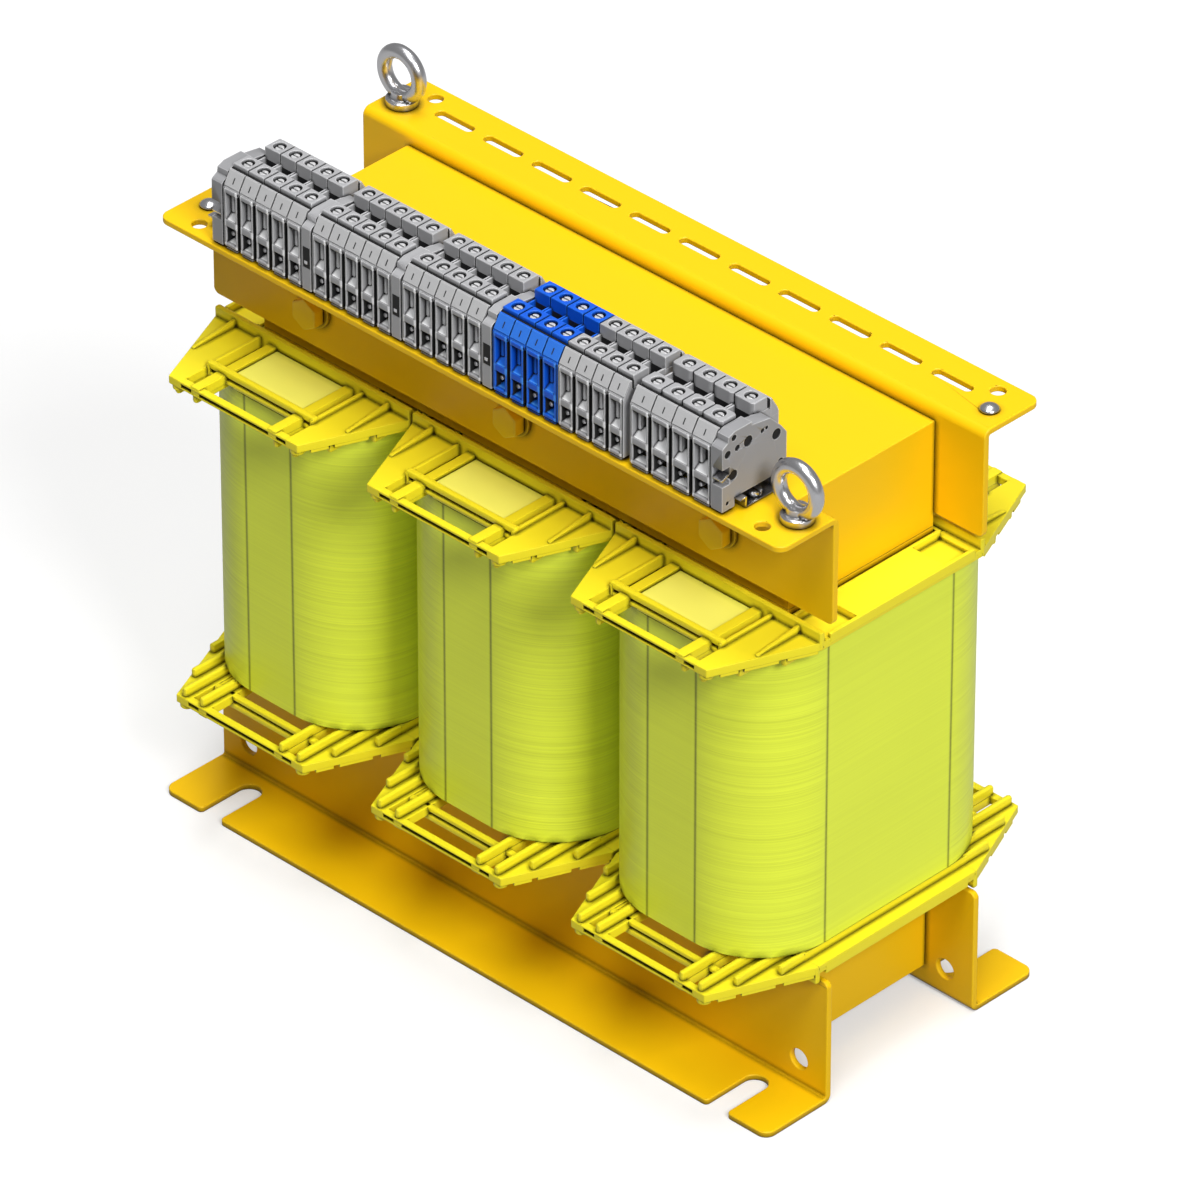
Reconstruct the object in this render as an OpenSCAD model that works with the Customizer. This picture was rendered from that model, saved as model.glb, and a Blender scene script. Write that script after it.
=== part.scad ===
// Dry three-phase transformer: a three-limb core held between four steel angles, with three coils
// on moulded bobbins and a row of terminals on the front top angle.
// Millimetres. X runs along the core, -Y is the terminal side, Z is up, and the feet stand on z = 0.

/* [Core] */
// Width of one limb of the core
limb_w = 96; // [84:1:104]
// Distance between the centres of two neighbouring limbs
limb_pitch = 164; // [160:1:190]
// Depth of the sheet stack
stack_d = 120; // [100:1:126]
// Height of each yoke
yoke_h = 72; // [60:1:84]
// Height of the window between the two yokes
window_h = 237; // [200:1:280]
// Height of the bottom yoke above the ground
core_lift = 16; // [12:1:24]

/* [Clamp angles] */
// Length of all four angles
angle_l = 500; // [490:2:560]
// Thickness of the folded sheet
angle_t = 4; // [3:0.5:5]
// Outer radius of the fold
fold_r = 5.5; // [5.5:0.5:8]
// Width of the foot, from the outside of the upright to its free edge
foot_w = 50; // [40:1:60]
// Height of the upright of a base angle
base_upright_h = 85; // [76:1:86]
// Width of the top flange, from the outside of the upright to its free edge
flange_w = 43.5; // [42:0.5:60]
// Height of the upright of a top angle
top_upright_h = 72.5; // [64:0.5:74]
// How far the top angles stand above the top yoke
angle_over_yoke = 9.5; // [6:0.5:14]
// Radius of the flange corners
flange_corner_r = 7; // [3:0.5:10]
// Radius of the other sheet corners
sheet_corner_r = 4; // [2:0.5:6]

/* [Holes in the angles] */
// Distance of an open foot slot from the end of the angle
foot_slot_inset = 40; // [35:1:60]
// Width of an open foot slot
foot_slot_w = 16; // [10:0.5:18]
// Depth of an open foot slot, with its round end
foot_slot_l = 40; // [24:1:42]
// Diameter of the hole at each end of a base upright
side_hole_d = 13.5; // [8:0.5:16]
// Distance of a side hole from the end of the angle
side_hole_inset = 22; // [18:1:27]
// Height of the side holes above the ground
side_hole_z = 21; // [16:1:60]
// Number of cable slots in the rear top flange
cable_slot_n = 11; // [3:2:11]
// Distance between two cable slots
cable_slot_pitch = 40; // [36:1:42]
// Length of a cable slot
cable_slot_l = 30; // [16:1:32]
// Width of a cable slot
cable_slot_w = 6.8; // [4:0.2:9]
// Distance of the cable slots from the outside of the upright
cable_slot_y = 23; // [14:1:28]
// Diameter of the small hole at each end of a top flange
corner_hole_d = 9.5; // [6:0.5:11]
// Distance of a small hole from the end of the angle
corner_hole_inset = 24; // [22:1:32]
// Distance of a small hole from the outside of the upright
corner_hole_y = 33; // [30:1:35]

/* [Lifting eyes and plugs] */
// Distance of an eye or a plug from the end of the angle
eye_inset = 14; // [13:0.5:20]
// Distance of the eyes and plugs from the outside of the upright
eye_y = 15; // [13:0.5:17]
// Thread diameter of an eyebolt
eye_thread_d = 8; // [6:0.5:9]
// Diameter of the eyebolt's collar
eye_collar_d = 20; // [16:1:21]
// Height of the eyebolt's collar
eye_collar_h = 8; // [5:0.5:10]
// Outer diameter of the ring
eye_ring_d = 38; // [32:1:42]
// Thickness of the ring
eye_ring_t = 8; // [6:0.5:10]
// Height of the ring's centre above the flange
eye_ring_z = 21; // [18:0.5:26]
// Diameter of a plug's head
plug_head_d = 12; // [10:0.5:14]

/* [Clamp bolts] */
// Diameter of a clamp bolt
bolt_d = 12; // [8:0.5:14]
// Width across the flats of its head and nut
bolt_af = 19; // [17:0.5:24]
// Height of the bolt head
bolt_head_h = 8; // [5:0.5:10]
// Height of the nut
bolt_nut_h = 10; // [6:0.5:12]
// Diameter of a washer
washer_d = 24; // [22:0.5:28]
// Thickness of a washer
washer_t = 2.5; // [1.5:0.5:3]
// Wall of the insulating sleeve round a bolt
sleeve_t = 1; // [0.5:0.25:2]

/* [Bobbins] */
// Width of a bobbin flange along the core
bobbin_w = 162; // [150:1:163]
// Depth of a bobbin flange, front wing to rear wing
bobbin_d = 265; // [256:1:280]
// Depth at which the slanted edges of the wings start
wing_root_d = 134; // [132:1:150]
// Width of a wing at its free edge
wing_tip_w = 107; // [100:1:116]
// Thickness of a wing
wing_t = 5.5; // [4:0.5:7]
// Height of the ribs that carry the coil
rib_h = 5.5; // [4:0.5:7]
// Thickness of the ribs
rib_t = 4; // [3:0.5:5]
// Height of the pads that touch the yoke
pad_h = 2.5; // [1.5:0.5:4]
// Height of the wall beside the yoke
wall_h = 6.5; // [4:0.5:7]
// Thickness of the wall beside the yoke
wall_t = 4; // [3:0.5:5]
// Wall of the bobbin's tube
tube_t = 2.5; // [1.5:0.5:4]
// Width of the window between the wing's bars
wing_window_w = 57; // [50:1:60]
// Width of the two bars beside the window
wing_bar_w = 7; // [5:0.5:8]
// Width of the slot beside each bar
wing_slot_w = 8; // [5:0.5:9]
// Width of the cross bars of a wing
cross_bar_w = 4.5; // [3:0.5:6]
// Gap between a coil's face and the cross bars in front of it
cross_bar_gap = 1; // [0.5:0.5:4]

/* [Coils] */
// Width of a finished coil along the core
coil_w = 144; // [138:1:158]
// Depth of a finished coil
coil_d = 210; // [200:1:226]
// Corner radius of a finished coil
coil_r = 53; // [40:1:60]
// Share of the winding's build that belongs to the primary
primary_share = 0.46; // [0.3:0.02:0.6]
// Thickness of the insulation between primary and secondary
barrier_t = 1.5; // [1:0.25:3]
// Thickness of the outer wrap
wrap_t = 1; // [0.5:0.25:2]

/* [Terminal row] */
// Distance between two small terminals
terminal_pitch = 13; // [11:0.25:13.25]
// Distance between two large terminals
large_pitch = 16; // [13:0.25:16]
// Height of a terminal above the flange
terminal_h = 54; // [52:0.5:64]
// Depth of a terminal
terminal_d = 55.5; // [54:0.5:62]
// Distance of the row's centre line from the outside of the upright
row_y = 13.25; // [12:0.25:15]
// Width of the spacer between two groups
spacer_w = 7; // [4:0.5:7.5]
// Width of an end bracket
bracket_w = 8.5; // [6:0.5:9]
// Width of the mounting rail
rail_w = 35; // [33:0.5:36]
// Height of the mounting rail
rail_h = 7.5; // [6:0.5:9]
// Thickness of the rail's steel
rail_t = 1; // [0.8:0.1:1.5]
// How far the rail stands out past the left bracket
rail_over_left = 14.5; // [8:0.5:15]
// How far the rail stands out past the right bracket
rail_over_right = 4.5; // [2:0.5:12]
// Diameter of the screws that hold the rail
rail_screw_d = 5; // [4:0.5:6]
// Side of a terminal's square screw head
head_d = 12.5; // [11:0.5:13]
// Diameter of the round well over a screw
well_d = 8; // [6:0.25:8.5]
// Distance between the front and the back screws
screw_rows = 25.5; // [24:0.5:28]

/* [Hidden] */
$fn = 48;
PHASES = ["left", "centre", "right"];
GROUPS = ["terminals_1", "terminals_2", "terminals_3", "terminals_blue", "terminals_4",
          "terminals_large"];

paint = [0.98, 0.77, 0.04];
plastic = [0.93, 0.86, 0.10];
wound = [0.80, 0.86, 0.26];
copper = [0.72, 0.40, 0.18];
paper = [0.86, 0.80, 0.58];
steel = [0.72, 0.73, 0.74];
grey = [0.58, 0.59, 0.60];
blue = [0.06, 0.25, 0.75];

// Small gaps that let one piece go into or beside another
fit_gap = 0.3;
core_gap = 1;
seat_gap = 0.5;

// Heights and half sizes of the core
yoke_top = core_lift + yoke_h;
window_top = yoke_top + window_h;
core_top = window_top + yoke_h;
core_l = 2 * limb_pitch + limb_w;
upright_y = stack_d / 2 + angle_t;
flange_top = core_top + angle_over_yoke;
eye_x = angle_l / 2 - eye_inset;
bottom_bolt_z = core_lift + yoke_h / 2;
top_bolt_z = window_top + yoke_h / 2;

// Bobbin heights: the outer face of a wing, its inner face, and where the coil starts
bobbin_low = yoke_top + seat_gap + pad_h;
bobbin_high = window_top - seat_gap - pad_h;
coil_low = bobbin_low + wing_t + rib_h;
coil_high = bobbin_high - wing_t - rib_h;
tube_w = limb_w + 2 * core_gap + 2 * tube_t;
tube_d = stack_d + 2 * core_gap + 2 * tube_t;
wing_tip_y = bobbin_d / 2;
wing_root_y = wing_root_d / 2;
wing_window_x = wing_window_w / 2;
wing_open_x = wing_window_x + wing_bar_w + wing_slot_w;
wall_y = upright_y + seat_gap;
wing_open_y = wall_y + wall_t;
cross_bar_edge = coil_d / 2 + cross_bar_gap + cross_bar_w;

// Coil layers, from the tube outwards
build_x = coil_w / 2 - wrap_t - tube_w / 2 - fit_gap;
build_y = coil_d / 2 - wrap_t - tube_d / 2 - fit_gap;
primary_x = tube_w / 2 + fit_gap + primary_share * build_x;
primary_y = tube_d / 2 + fit_gap + primary_share * build_y;
inner_r = 4;
bore_r = fit_gap;
primary_r = inner_r + primary_share * (coil_r - wrap_t - inner_r);

// Terminal row
row_centre_y = -(upright_y + row_y);
spacer_gap = 0.25;
group_pitch = [for (i = [0:5]) i == 5 ? large_pitch : terminal_pitch];
group_gap = [0, spacer_w + 1, spacer_w + 1, spacer_w + 1, 0, spacer_w / 2 + 1];
// The last three groups have four terminals each, and the first three share the room that is left
last_n = 4;
row_end_clear = 10;
row_room = 2 * (eye_x - eye_collar_d / 2 - row_end_clear - bracket_w - spacer_gap);
last_groups_l = last_n * (2 * terminal_pitch + large_pitch) + 3 * (spacer_w + 1) + spacer_w / 2 + 1;
first_n = floor((row_room - last_groups_l) / (3 * terminal_pitch));
group_n = [first_n, first_n, first_n, last_n, last_n, last_n];
function group_l(i) = group_n[i] * group_pitch[i];
function row_up_to(i) = i < 0 ? 0 : row_up_to(i - 1) + group_gap[i] + group_l(i);
row_l = row_up_to(5);
row_centre_x = -2;
function group_start(i) = row_centre_x - row_l / 2 + row_up_to(i) - group_l(i);
function terminal_x(i, k) = group_start(i) + (k + 0.5) * group_pitch[i];
clamp_low = 23;
clamp_high = 38;
clamp_y = screw_rows / 2;
clamp_l = 12;
bar_t = 2;
bar_w = 5;
screw_thread_d = 4;
screw_head_h = 3;
well_depth = 8;
well_floor = terminal_h - well_depth;

// Rectangle with round corners, centred on the origin
module round_rect(x, y, r) {
    square([x - 2 * r, y], center = true);
    square([x, y - 2 * r], center = true);
    for (i = [-1, 1], j = [-1, 1])
        translate([i * (x / 2 - r), j * (y / 2 - r)]) circle(r, $fn = 96);
}

// Everything outside a quarter circle at a convex corner, to round that corner off
module corner_waste(r) {
    difference() {
        translate([-1, -1]) square(r + 1);
        translate([r, r]) circle(r);
    }
}

// Hexagon of a given width across its flats, standing on a vertex
module hexagon(af) {
    rotate(30) circle(af / 2 / cos(30), $fn = 6);
}

// Turns an outline drawn in Y and Z into a bar along X, centred on x = 0
module bar_along_x(l) {
    translate([-l / 2, 0, 0]) rotate([90, 0, 90]) linear_extrude(l) children();
}

// Cylinder along +Y that starts at y
module pin_along_y(x, y, z, d, l) {
    translate([x, y, z]) rotate([-90, 0, 0]) cylinder(d = d, h = l);
}

module yoke(z) {
    color(paint) difference() {
        translate([-core_l / 2, -stack_d / 2, z]) cube([core_l, stack_d, yoke_h]);
        for (x = [-limb_pitch, 0, limb_pitch])
            pin_along_y(x, -stack_d, z + yoke_h / 2, bolt_d + 2 * sleeve_t + 2 * fit_gap, 2 * stack_d);
    }
}

module limb(x) {
    color(paint) translate([x - limb_w / 2, -stack_d / 2, yoke_top]) cube([limb_w, stack_d, window_h]);
}

module bobbin_tube(x) {
    color(plastic) translate([x, 0, bobbin_low]) linear_extrude(bobbin_high - bobbin_low) difference() {
        square([tube_w, tube_d], center = true);
        square([tube_w - 2 * tube_t, tube_d - 2 * tube_t], center = true);
    }
}

// Plan of a flange: a broad middle with a tapered wing in front and behind
module flange_plan() {
    polygon([
        [-bobbin_w / 2, -wing_root_y], [-wing_tip_w / 2, -wing_tip_y],
        [wing_tip_w / 2, -wing_tip_y], [bobbin_w / 2, -wing_root_y],
        [bobbin_w / 2, wing_root_y], [wing_tip_w / 2, wing_tip_y],
        [-wing_tip_w / 2, wing_tip_y], [-bobbin_w / 2, wing_root_y]
    ]);
}

// Where the slanted edge of a wing lies at a distance x from the middle
function slant_y(x) = wing_root_y
    + (bobbin_w / 2 - x) * (wing_tip_y - wing_root_y) / (bobbin_w / 2 - wing_tip_w / 2);

// Ribs under a wing, and the thin tapered ones on its outer face
rib_first_x = wing_window_x + wing_bar_w;
rib_step = 10.8;
rib_inset = 1.2;
taper_rib_x = bobbin_w / 2 - 17;
taper_rib_t = 2.5;
taper_rib_low = 0.8;
taper_rib_h = 5;
// Bars of a wing: how far they stand above its outer face, or how high they are
side_bar_rise = 1;
cross_bar_z = -0.5;
cross_bar_h = 4.2;
low_bar_h = 3;
edge_bar_w = 5;
// Groove along the front of the bar at the free edge
groove_z = -4.2;
groove_h = 2.5;
groove_depth = 2.5;
// Pockets in the broad middle
pocket_y = 36;
pocket_rim = 5;
pocket_depth = 5;
// Round lugs at the free corners, and the notched rim along the slanted edges. Its spans are given
// as shares of the edge, from the free corner on
lug_d = 9;
lug_h = 3;
rim_h = 2;
rim_w = 5;
rim_spans = [[0.12, 0.28], [0.33, 0.63], [0.7, 0.97]];

// The bars, ribs and window of the wing on the -Y side
module wing_bars() {
    front = -wing_tip_y;
    back = -wing_open_y;
    for (side = [-1, 1]) scale([side, 1, 1]) {
        // Bar beside the window
        translate([wing_window_x, front + edge_bar_w, -wing_t])
            cube([wing_bar_w, back - front - edge_bar_w, wing_t + side_bar_rise]);
        // Thin tapered rib on the outer face
        translate([taper_rib_x - taper_rib_t / 2, 0, 0]) rotate([90, 0, 90]) linear_extrude(taper_rib_t)
            let (tip = -slant_y(taper_rib_x + taper_rib_t))
                polygon([[back, 0], [tip, 0], [tip, taper_rib_low], [back, taper_rib_h]]);
        // Ribs under the wing that carry the coil
        for (k = [0:3]) {
            x = rib_first_x + k * rib_step;
            tip = min(slant_y(x + rib_t), wing_tip_y) - rib_inset;
            translate([x - (k == 0 ? rib_t : 0), -tip, -wing_t - rib_h])
                cube([rib_t, tip - wing_open_y, rib_h]);
        }
    }
    // Raised cross bar over the two side bars
    translate([-wing_open_x, -cross_bar_edge, cross_bar_z])
        cube([2 * wing_open_x, cross_bar_w, cross_bar_h]);
    // Lower bar across the window, against the coil's end
    translate([-wing_open_x, -cross_bar_edge, -wing_t])
        cube([2 * wing_open_x, cross_bar_w, low_bar_h]);
}

// Lugs and rims that stand on the plane z = 0 along the edges of the wing on the -Y side
module wing_rims() {
    slant_x = (bobbin_w - wing_tip_w) / 2;
    slant = sqrt(slant_x ^ 2 + (wing_tip_y - wing_root_y) ^ 2);
    for (side = [-1, 1]) scale([side, 1, 1]) {
        translate([wing_tip_w / 2 - lug_d / 2, -wing_tip_y + lug_d / 2, 0]) cylinder(d = lug_d, h = lug_h);
        translate([wing_tip_w / 2, -wing_tip_y, 0]) rotate(atan2(wing_tip_y - wing_root_y, slant_x))
            for (span = rim_spans)
                translate([span[0] * slant, 0, 0]) cube([(span[1] - span[0]) * slant, rim_w, rim_h]);
    }
}

// One flange with its outer face at z = 0 and its coil side below, before it is set in place
module flange() {
    color(plastic) {
        difference() {
            union() {
                translate([0, 0, -wing_t]) linear_extrude(wing_t) flange_plan();
                // Broad middle: thick enough to carry the coil, with the pads that meet the yoke
                translate([-coil_w / 2, -wing_open_y, -wing_t - rib_h])
                    cube([coil_w, 2 * wing_open_y, rib_h]);
                translate([-bobbin_w / 2, -stack_d / 2, 0]) cube([bobbin_w, stack_d, pad_h]);
                for (side = [-1, 1])
                    translate([-bobbin_w / 2, side * (wall_y + wall_t / 2) - wall_t / 2, 0])
                        cube([bobbin_w, wall_t, wall_h]);
            }
            translate([-tube_w / 2, -tube_d / 2, -wing_t - rib_h - 1])
                cube([tube_w, tube_d, wing_t + rib_h + pad_h + 2]);
            for (side = [-1, 1]) {
                // Pockets in the broad middle, beside the tube
                for (end = [-1, 1])
                    translate([end * (tube_w + bobbin_w) / 4, side * (pocket_y + stack_d / 2) / 2,
                               pad_h - pocket_depth / 2])
                        cube([(bobbin_w - tube_w) / 2 - pocket_rim, stack_d / 2 - pocket_y,
                              pocket_depth + 0.01], center = true);
                // Opening of the wing
                translate([-wing_open_x, side > 0 ? wing_open_y : -wing_tip_y + edge_bar_w, -wing_t - 1])
                    cube([2 * wing_open_x, wing_tip_y - wing_open_y - edge_bar_w, wing_t + 2]);
                translate([-wing_window_x, side * wing_tip_y - groove_depth, groove_z])
                    cube([wing_window_w, 2 * groove_depth, groove_h]);
            }
        }
        wing_bars();
        rotate(180) wing_bars();
    }
}

// The rims hang down on both flanges: from the outer face of the lower one and the coil side of the
// upper one
module bottom_flange(x) {
    translate([x, 0, bobbin_low]) mirror([0, 0, 1]) {
        flange();
        color(plastic) for (turn = [0, 180]) rotate(turn) wing_rims();
    }
}

module top_flange(x) {
    translate([x, 0, bobbin_high]) {
        flange();
        color(plastic) translate([0, 0, -wing_t]) mirror([0, 0, 1])
            for (turn = [0, 180]) rotate(turn) wing_rims();
    }
}

// One layer of a coil between two rounded rectangles
module coil_layer(x, inner, outer) {
    translate([x, 0, coil_low]) linear_extrude(coil_high - coil_low) difference() {
        round_rect(outer[0], outer[1], outer[2]);
        round_rect(inner[0], inner[1], inner[2]);
    }
}

function inset(size, t) = [size[0] - 2 * t, size[1] - 2 * t, size[2] - t];
wrap_size = [coil_w, coil_d, coil_r];
secondary_size = inset(wrap_size, wrap_t);
primary_size = [2 * primary_x, 2 * primary_y, primary_r];
barrier_size = [2 * (primary_x + barrier_t), 2 * (primary_y + barrier_t), primary_r + barrier_t];
bore_size = [tube_w + 2 * fit_gap, tube_d + 2 * fit_gap, bore_r];

module primary(x) { color(copper) coil_layer(x, bore_size, primary_size); }

module barrier(x) { color(paper) coil_layer(x, primary_size, barrier_size); }

module secondary(x) { color(copper) coil_layer(x, barrier_size, secondary_size); }

module coil_wrap(x) { color(wound) coil_layer(x, secondary_size, wrap_size); }

end_pad_gap = 1;

// Blocks that close the coil's end inside the windows of the top flanges
module coil_end_pads() {
    pad_l = coil_d / 2 - wing_open_y;
    color(wound) for (x = [-limb_pitch, 0, limb_pitch], side = [-1, 1])
        translate([x - wing_window_x + fit_gap, side > 0 ? wing_open_y + fit_gap : -wing_open_y - pad_l,
                   coil_high])
            cube([wing_window_w - 2 * fit_gap, pad_l - fit_gap, wing_t + rib_h - end_pad_gap]);
}

// Cross-section of an angle: the foot runs outwards along y, the upright stands at y = 0 inwards
module angle_section(flange, upright) {
    difference() {
        union() {
            translate([-flange, 0]) square([flange + angle_t, angle_t]);
            square([angle_t, upright]);
            // Fillet inside the fold
            translate([-(fold_r - angle_t), angle_t]) difference() {
                square(fold_r - angle_t);
                translate([0, fold_r - angle_t]) circle(fold_r - angle_t);
            }
        }
        // Outside of the fold
        translate([angle_t, 0]) mirror([1, 0]) corner_waste(fold_r);
    }
}

// Rounds the corners of the flange and of the upright at both ends of an angle
module angle_corner_waste(flange, upright, upright_r) {
    for (end = [0, 1]) mirror([end, 0, 0]) {
        translate([-angle_l / 2, -flange, -1]) linear_extrude(angle_t + 2) corner_waste(flange_corner_r);
        translate([-angle_l / 2, angle_t + 1, upright]) rotate([90, 0, 0]) linear_extrude(angle_t + 2)
            mirror([0, 1]) corner_waste(upright_r);
    }
}

// Angle in its own frame: outside of the upright at y = 0, flange towards -Y, underside at z = 0
module angle_blank(flange, upright, upright_r) {
    difference() {
        bar_along_x(angle_l) angle_section(flange, upright);
        angle_corner_waste(flange, upright, upright_r);
    }
}

foot_mouth_r = 3;

// Plan of one open foot slot, with its rounded mouth on the line y = 0
module foot_slot() {
    translate([-foot_slot_w / 2, -1]) square([foot_slot_w, foot_slot_l - foot_slot_w / 2 + 1]);
    translate([0, foot_slot_l - foot_slot_w / 2]) circle(d = foot_slot_w);
    for (side = [0, 1]) mirror([side, 0]) translate([foot_slot_w / 2, 0]) corner_waste(foot_mouth_r);
}

module base_angle() {
    difference() {
        angle_blank(foot_w, base_upright_h, sheet_corner_r);
        for (side = [-1, 1]) {
            translate([side * (angle_l / 2 - foot_slot_inset), -foot_w, -1]) linear_extrude(angle_t + 2) foot_slot();
            pin_along_y(side * (angle_l / 2 - side_hole_inset), -1, side_hole_z, side_hole_d, angle_t + 2);
        }
        for (x = [-limb_pitch, 0, limb_pitch])
            pin_along_y(x, -1, bottom_bolt_z, bolt_d + 2 * sleeve_t + 2 * fit_gap, angle_t + 2);
    }
}

// A top angle lies upside down: its flange is at the top and points outwards
module top_angle(slots) {
    mirror([0, 0, 1]) difference() {
        angle_blank(flange_w, top_upright_h, sheet_corner_r);
        for (side = [-1, 1]) {
            translate([side * (angle_l / 2 - corner_hole_inset), -corner_hole_y, -1])
                cylinder(d = corner_hole_d, h = angle_t + 2);
            translate([side * eye_x, -eye_y, -1])
                cylinder(d = eye_thread_d + 2 * fit_gap, h = angle_t + 2);
        }
        if (slots)
            for (k = [0:cable_slot_n - 1])
                translate([(k - (cable_slot_n - 1) / 2) * cable_slot_pitch, -cable_slot_y, -1])
                    linear_extrude(angle_t + 2)
                        round_rect(cable_slot_l, cable_slot_w, cable_slot_w / 2 - 0.001);
        else
            for (x = rail_screw_x)
                translate([x, -row_y, -1]) cylinder(d = rail_screw_d + 2 * fit_gap, h = angle_t + 2);
        for (x = [-limb_pitch, 0, limb_pitch])
            pin_along_y(x, -1, flange_top - top_bolt_z, bolt_d + 2 * sleeve_t + 2 * fit_gap, angle_t + 2);
    }
}

module base_front_angle() { color(paint) translate([0, -upright_y, 0]) base_angle(); }

module base_rear_angle() { color(paint) rotate(180) translate([0, -upright_y, 0]) base_angle(); }

module top_front_angle() { color(paint) translate([0, -upright_y, flange_top]) top_angle(false); }

module top_rear_angle() {
    color(paint) rotate(180) translate([0, -upright_y, flange_top]) top_angle(true);
}

bolt_face_y = upright_y + washer_t;
bolt_tail = 4;

module bolts(z) {
    color(paint) for (x = [-limb_pitch, 0, limb_pitch]) {
        pin_along_y(x, -bolt_face_y, z, bolt_d, 2 * bolt_face_y + bolt_nut_h + bolt_tail);
        translate([x, -bolt_face_y, z]) rotate([90, 0, 0]) intersection() {
            linear_extrude(bolt_head_h) hexagon(bolt_af);
            // Turned chamfer on the head
            cylinder(d1 = 1.6 * bolt_af, d2 = 0.96 * bolt_af, h = bolt_head_h);
        }
    }
}

module nuts(z) {
    color(paint) for (x = [-limb_pitch, 0, limb_pitch])
        translate([x, bolt_face_y, z]) rotate([-90, 0, 0]) difference() {
            linear_extrude(bolt_nut_h) hexagon(bolt_af);
            translate([0, 0, -1]) cylinder(d = bolt_d, h = bolt_nut_h + 2);
        }
}

module washers(z) {
    color(paint) for (x = [-limb_pitch, 0, limb_pitch], y = [-bolt_face_y, upright_y])
        difference() {
            pin_along_y(x, y, z, washer_d, washer_t);
            pin_along_y(x, y - 1, z, bolt_d + 2 * fit_gap, washer_t + 2);
        }
}

// Insulating tubes between the clamp bolts and the core and angles
module bolt_sleeves() {
    color(paper) for (x = [-limb_pitch, 0, limb_pitch], z = [bottom_bolt_z, top_bolt_z])
        difference() {
            pin_along_y(x, -upright_y, z, bolt_d + 2 * sleeve_t, 2 * upright_y);
            pin_along_y(x, -upright_y - 1, z, bolt_d + fit_gap, 2 * upright_y + 2);
        }
}

eye_nut_h = 6.5;
eye_nut_af = 13;
eye_boss_d = 11;
eye_boss_h = 1.5;
eye_thread_end = 2;

module eyebolt(x, y) {
    color(steel) translate([x, y, flange_top]) {
        cylinder(d = eye_collar_d, h = eye_collar_h);
        cylinder(d = eye_boss_d, h = eye_collar_h + eye_boss_h);
        translate([0, 0, -angle_t - eye_nut_h - eye_thread_end])
            cylinder(d = eye_thread_d, h = angle_t + eye_nut_h + eye_thread_end + eye_collar_h / 2);
        translate([0, 0, eye_ring_z]) rotate([90, 0, 0]) rotate_extrude($fn = 96)
            translate([(eye_ring_d - eye_ring_t) / 2, 0]) circle(d = eye_ring_t);
    }
}

module eyebolt_nuts() {
    color(steel) for (side = [-1, 1])
        translate([side * eye_x, -side * (upright_y + eye_y), flange_top - angle_t - eye_nut_h])
            difference() {
                linear_extrude(eye_nut_h) hexagon(eye_nut_af);
                translate([0, 0, -1]) cylinder(d = eye_thread_d, h = eye_nut_h + 2);
            }
}

plug_dome_r = 8;
plug_head_h = 4;
plug_shank_l = 4;

// Round-headed plugs in the two eye positions that hold no eyebolt
module flange_plugs() {
    color(steel) for (side = [-1, 1])
        translate([side * eye_x, side * (upright_y + eye_y), flange_top]) {
            intersection() {
                cylinder(d = plug_head_d, h = plug_head_h);
                translate([0, 0, plug_head_h - plug_dome_r]) sphere(plug_dome_r);
            }
            translate([0, 0, -angle_t - plug_shank_l])
                cylinder(d = eye_thread_d - 2 * fit_gap, h = angle_t + plug_shank_l + plug_head_h / 2);
        }
}

rail_l = row_l + 2 * (bracket_w + spacer_gap) + rail_over_left + rail_over_right;
rail_centre_x = row_centre_x + (rail_over_right - rail_over_left) / 2;
rail_screw_inset = 6;
rail_screw_x = [for (side = [-1, 1]) rail_centre_x + side * (rail_l / 2 - rail_screw_inset)];
rail_brim = 4;
rail_foot_w = rail_w - 2 * rail_brim;
rail_head_d = 9;
rail_head_h = 3.2;
rail_head_slot = 1.2;
rail_screw_end = 5;

// Top-hat section of the mounting rail
module rail_section() {
    square([rail_foot_w, rail_t]);
    for (side = [0, 1]) translate([side * (rail_foot_w - rail_t), 0]) square([rail_t, rail_h]);
    for (y = [-rail_brim, rail_foot_w - rail_t])
        translate([y, rail_h - rail_t]) square([rail_brim + rail_t, rail_t]);
}

module terminal_rail() {
    color(steel) difference() {
        translate([rail_centre_x, row_centre_y - rail_foot_w / 2, flange_top])
            bar_along_x(rail_l) rail_section();
        for (x = rail_screw_x)
            translate([x, row_centre_y, flange_top - 1])
                cylinder(d = rail_screw_d + 2 * fit_gap, h = rail_t + 2);
    }
}

module rail_screws() {
    color(steel) for (x = rail_screw_x)
        translate([x, row_centre_y, flange_top]) {
            translate([0, 0, rail_t]) difference() {
                cylinder(d = rail_head_d, h = rail_head_h);
                translate([-rail_head_d / 2, -rail_head_slot / 2, rail_head_h / 2])
                    cube([rail_head_d, rail_head_slot, rail_head_h]);
            }
            translate([0, 0, -angle_t - rail_screw_end])
                cylinder(d = rail_screw_d, h = angle_t + rail_screw_end + rail_t + rail_head_h / 4);
        }
}

face_y = terminal_d / 2;
side_wall = 1.9;
body_gap = 0.4;
body_low = 1.5;
marker_h = 12;
shoulder_z = terminal_h - marker_h;
shoulder_y = clamp_y + head_d / 2 + 1.6;
marker_top = terminal_h - 2.6;
saddle_top = terminal_h - 7;

// Half section of a terminal's body, from its middle to its front face
module terminal_half_section() {
    polygon([
        [0, rail_h], [rail_w / 2 + fit_gap, rail_h], [rail_w / 2 + fit_gap, body_low],
        [face_y, body_low], [face_y, shoulder_z - 1], [face_y - 1, shoulder_z + 0.5],
        [shoulder_y + 0.8, marker_top], [shoulder_y, marker_top], [shoulder_y, well_floor],
        [clamp_y - head_d / 2 - 2, well_floor], [clamp_y - head_d / 2 - 2, saddle_top],
        [0, saddle_top]
    ]);
}

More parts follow.
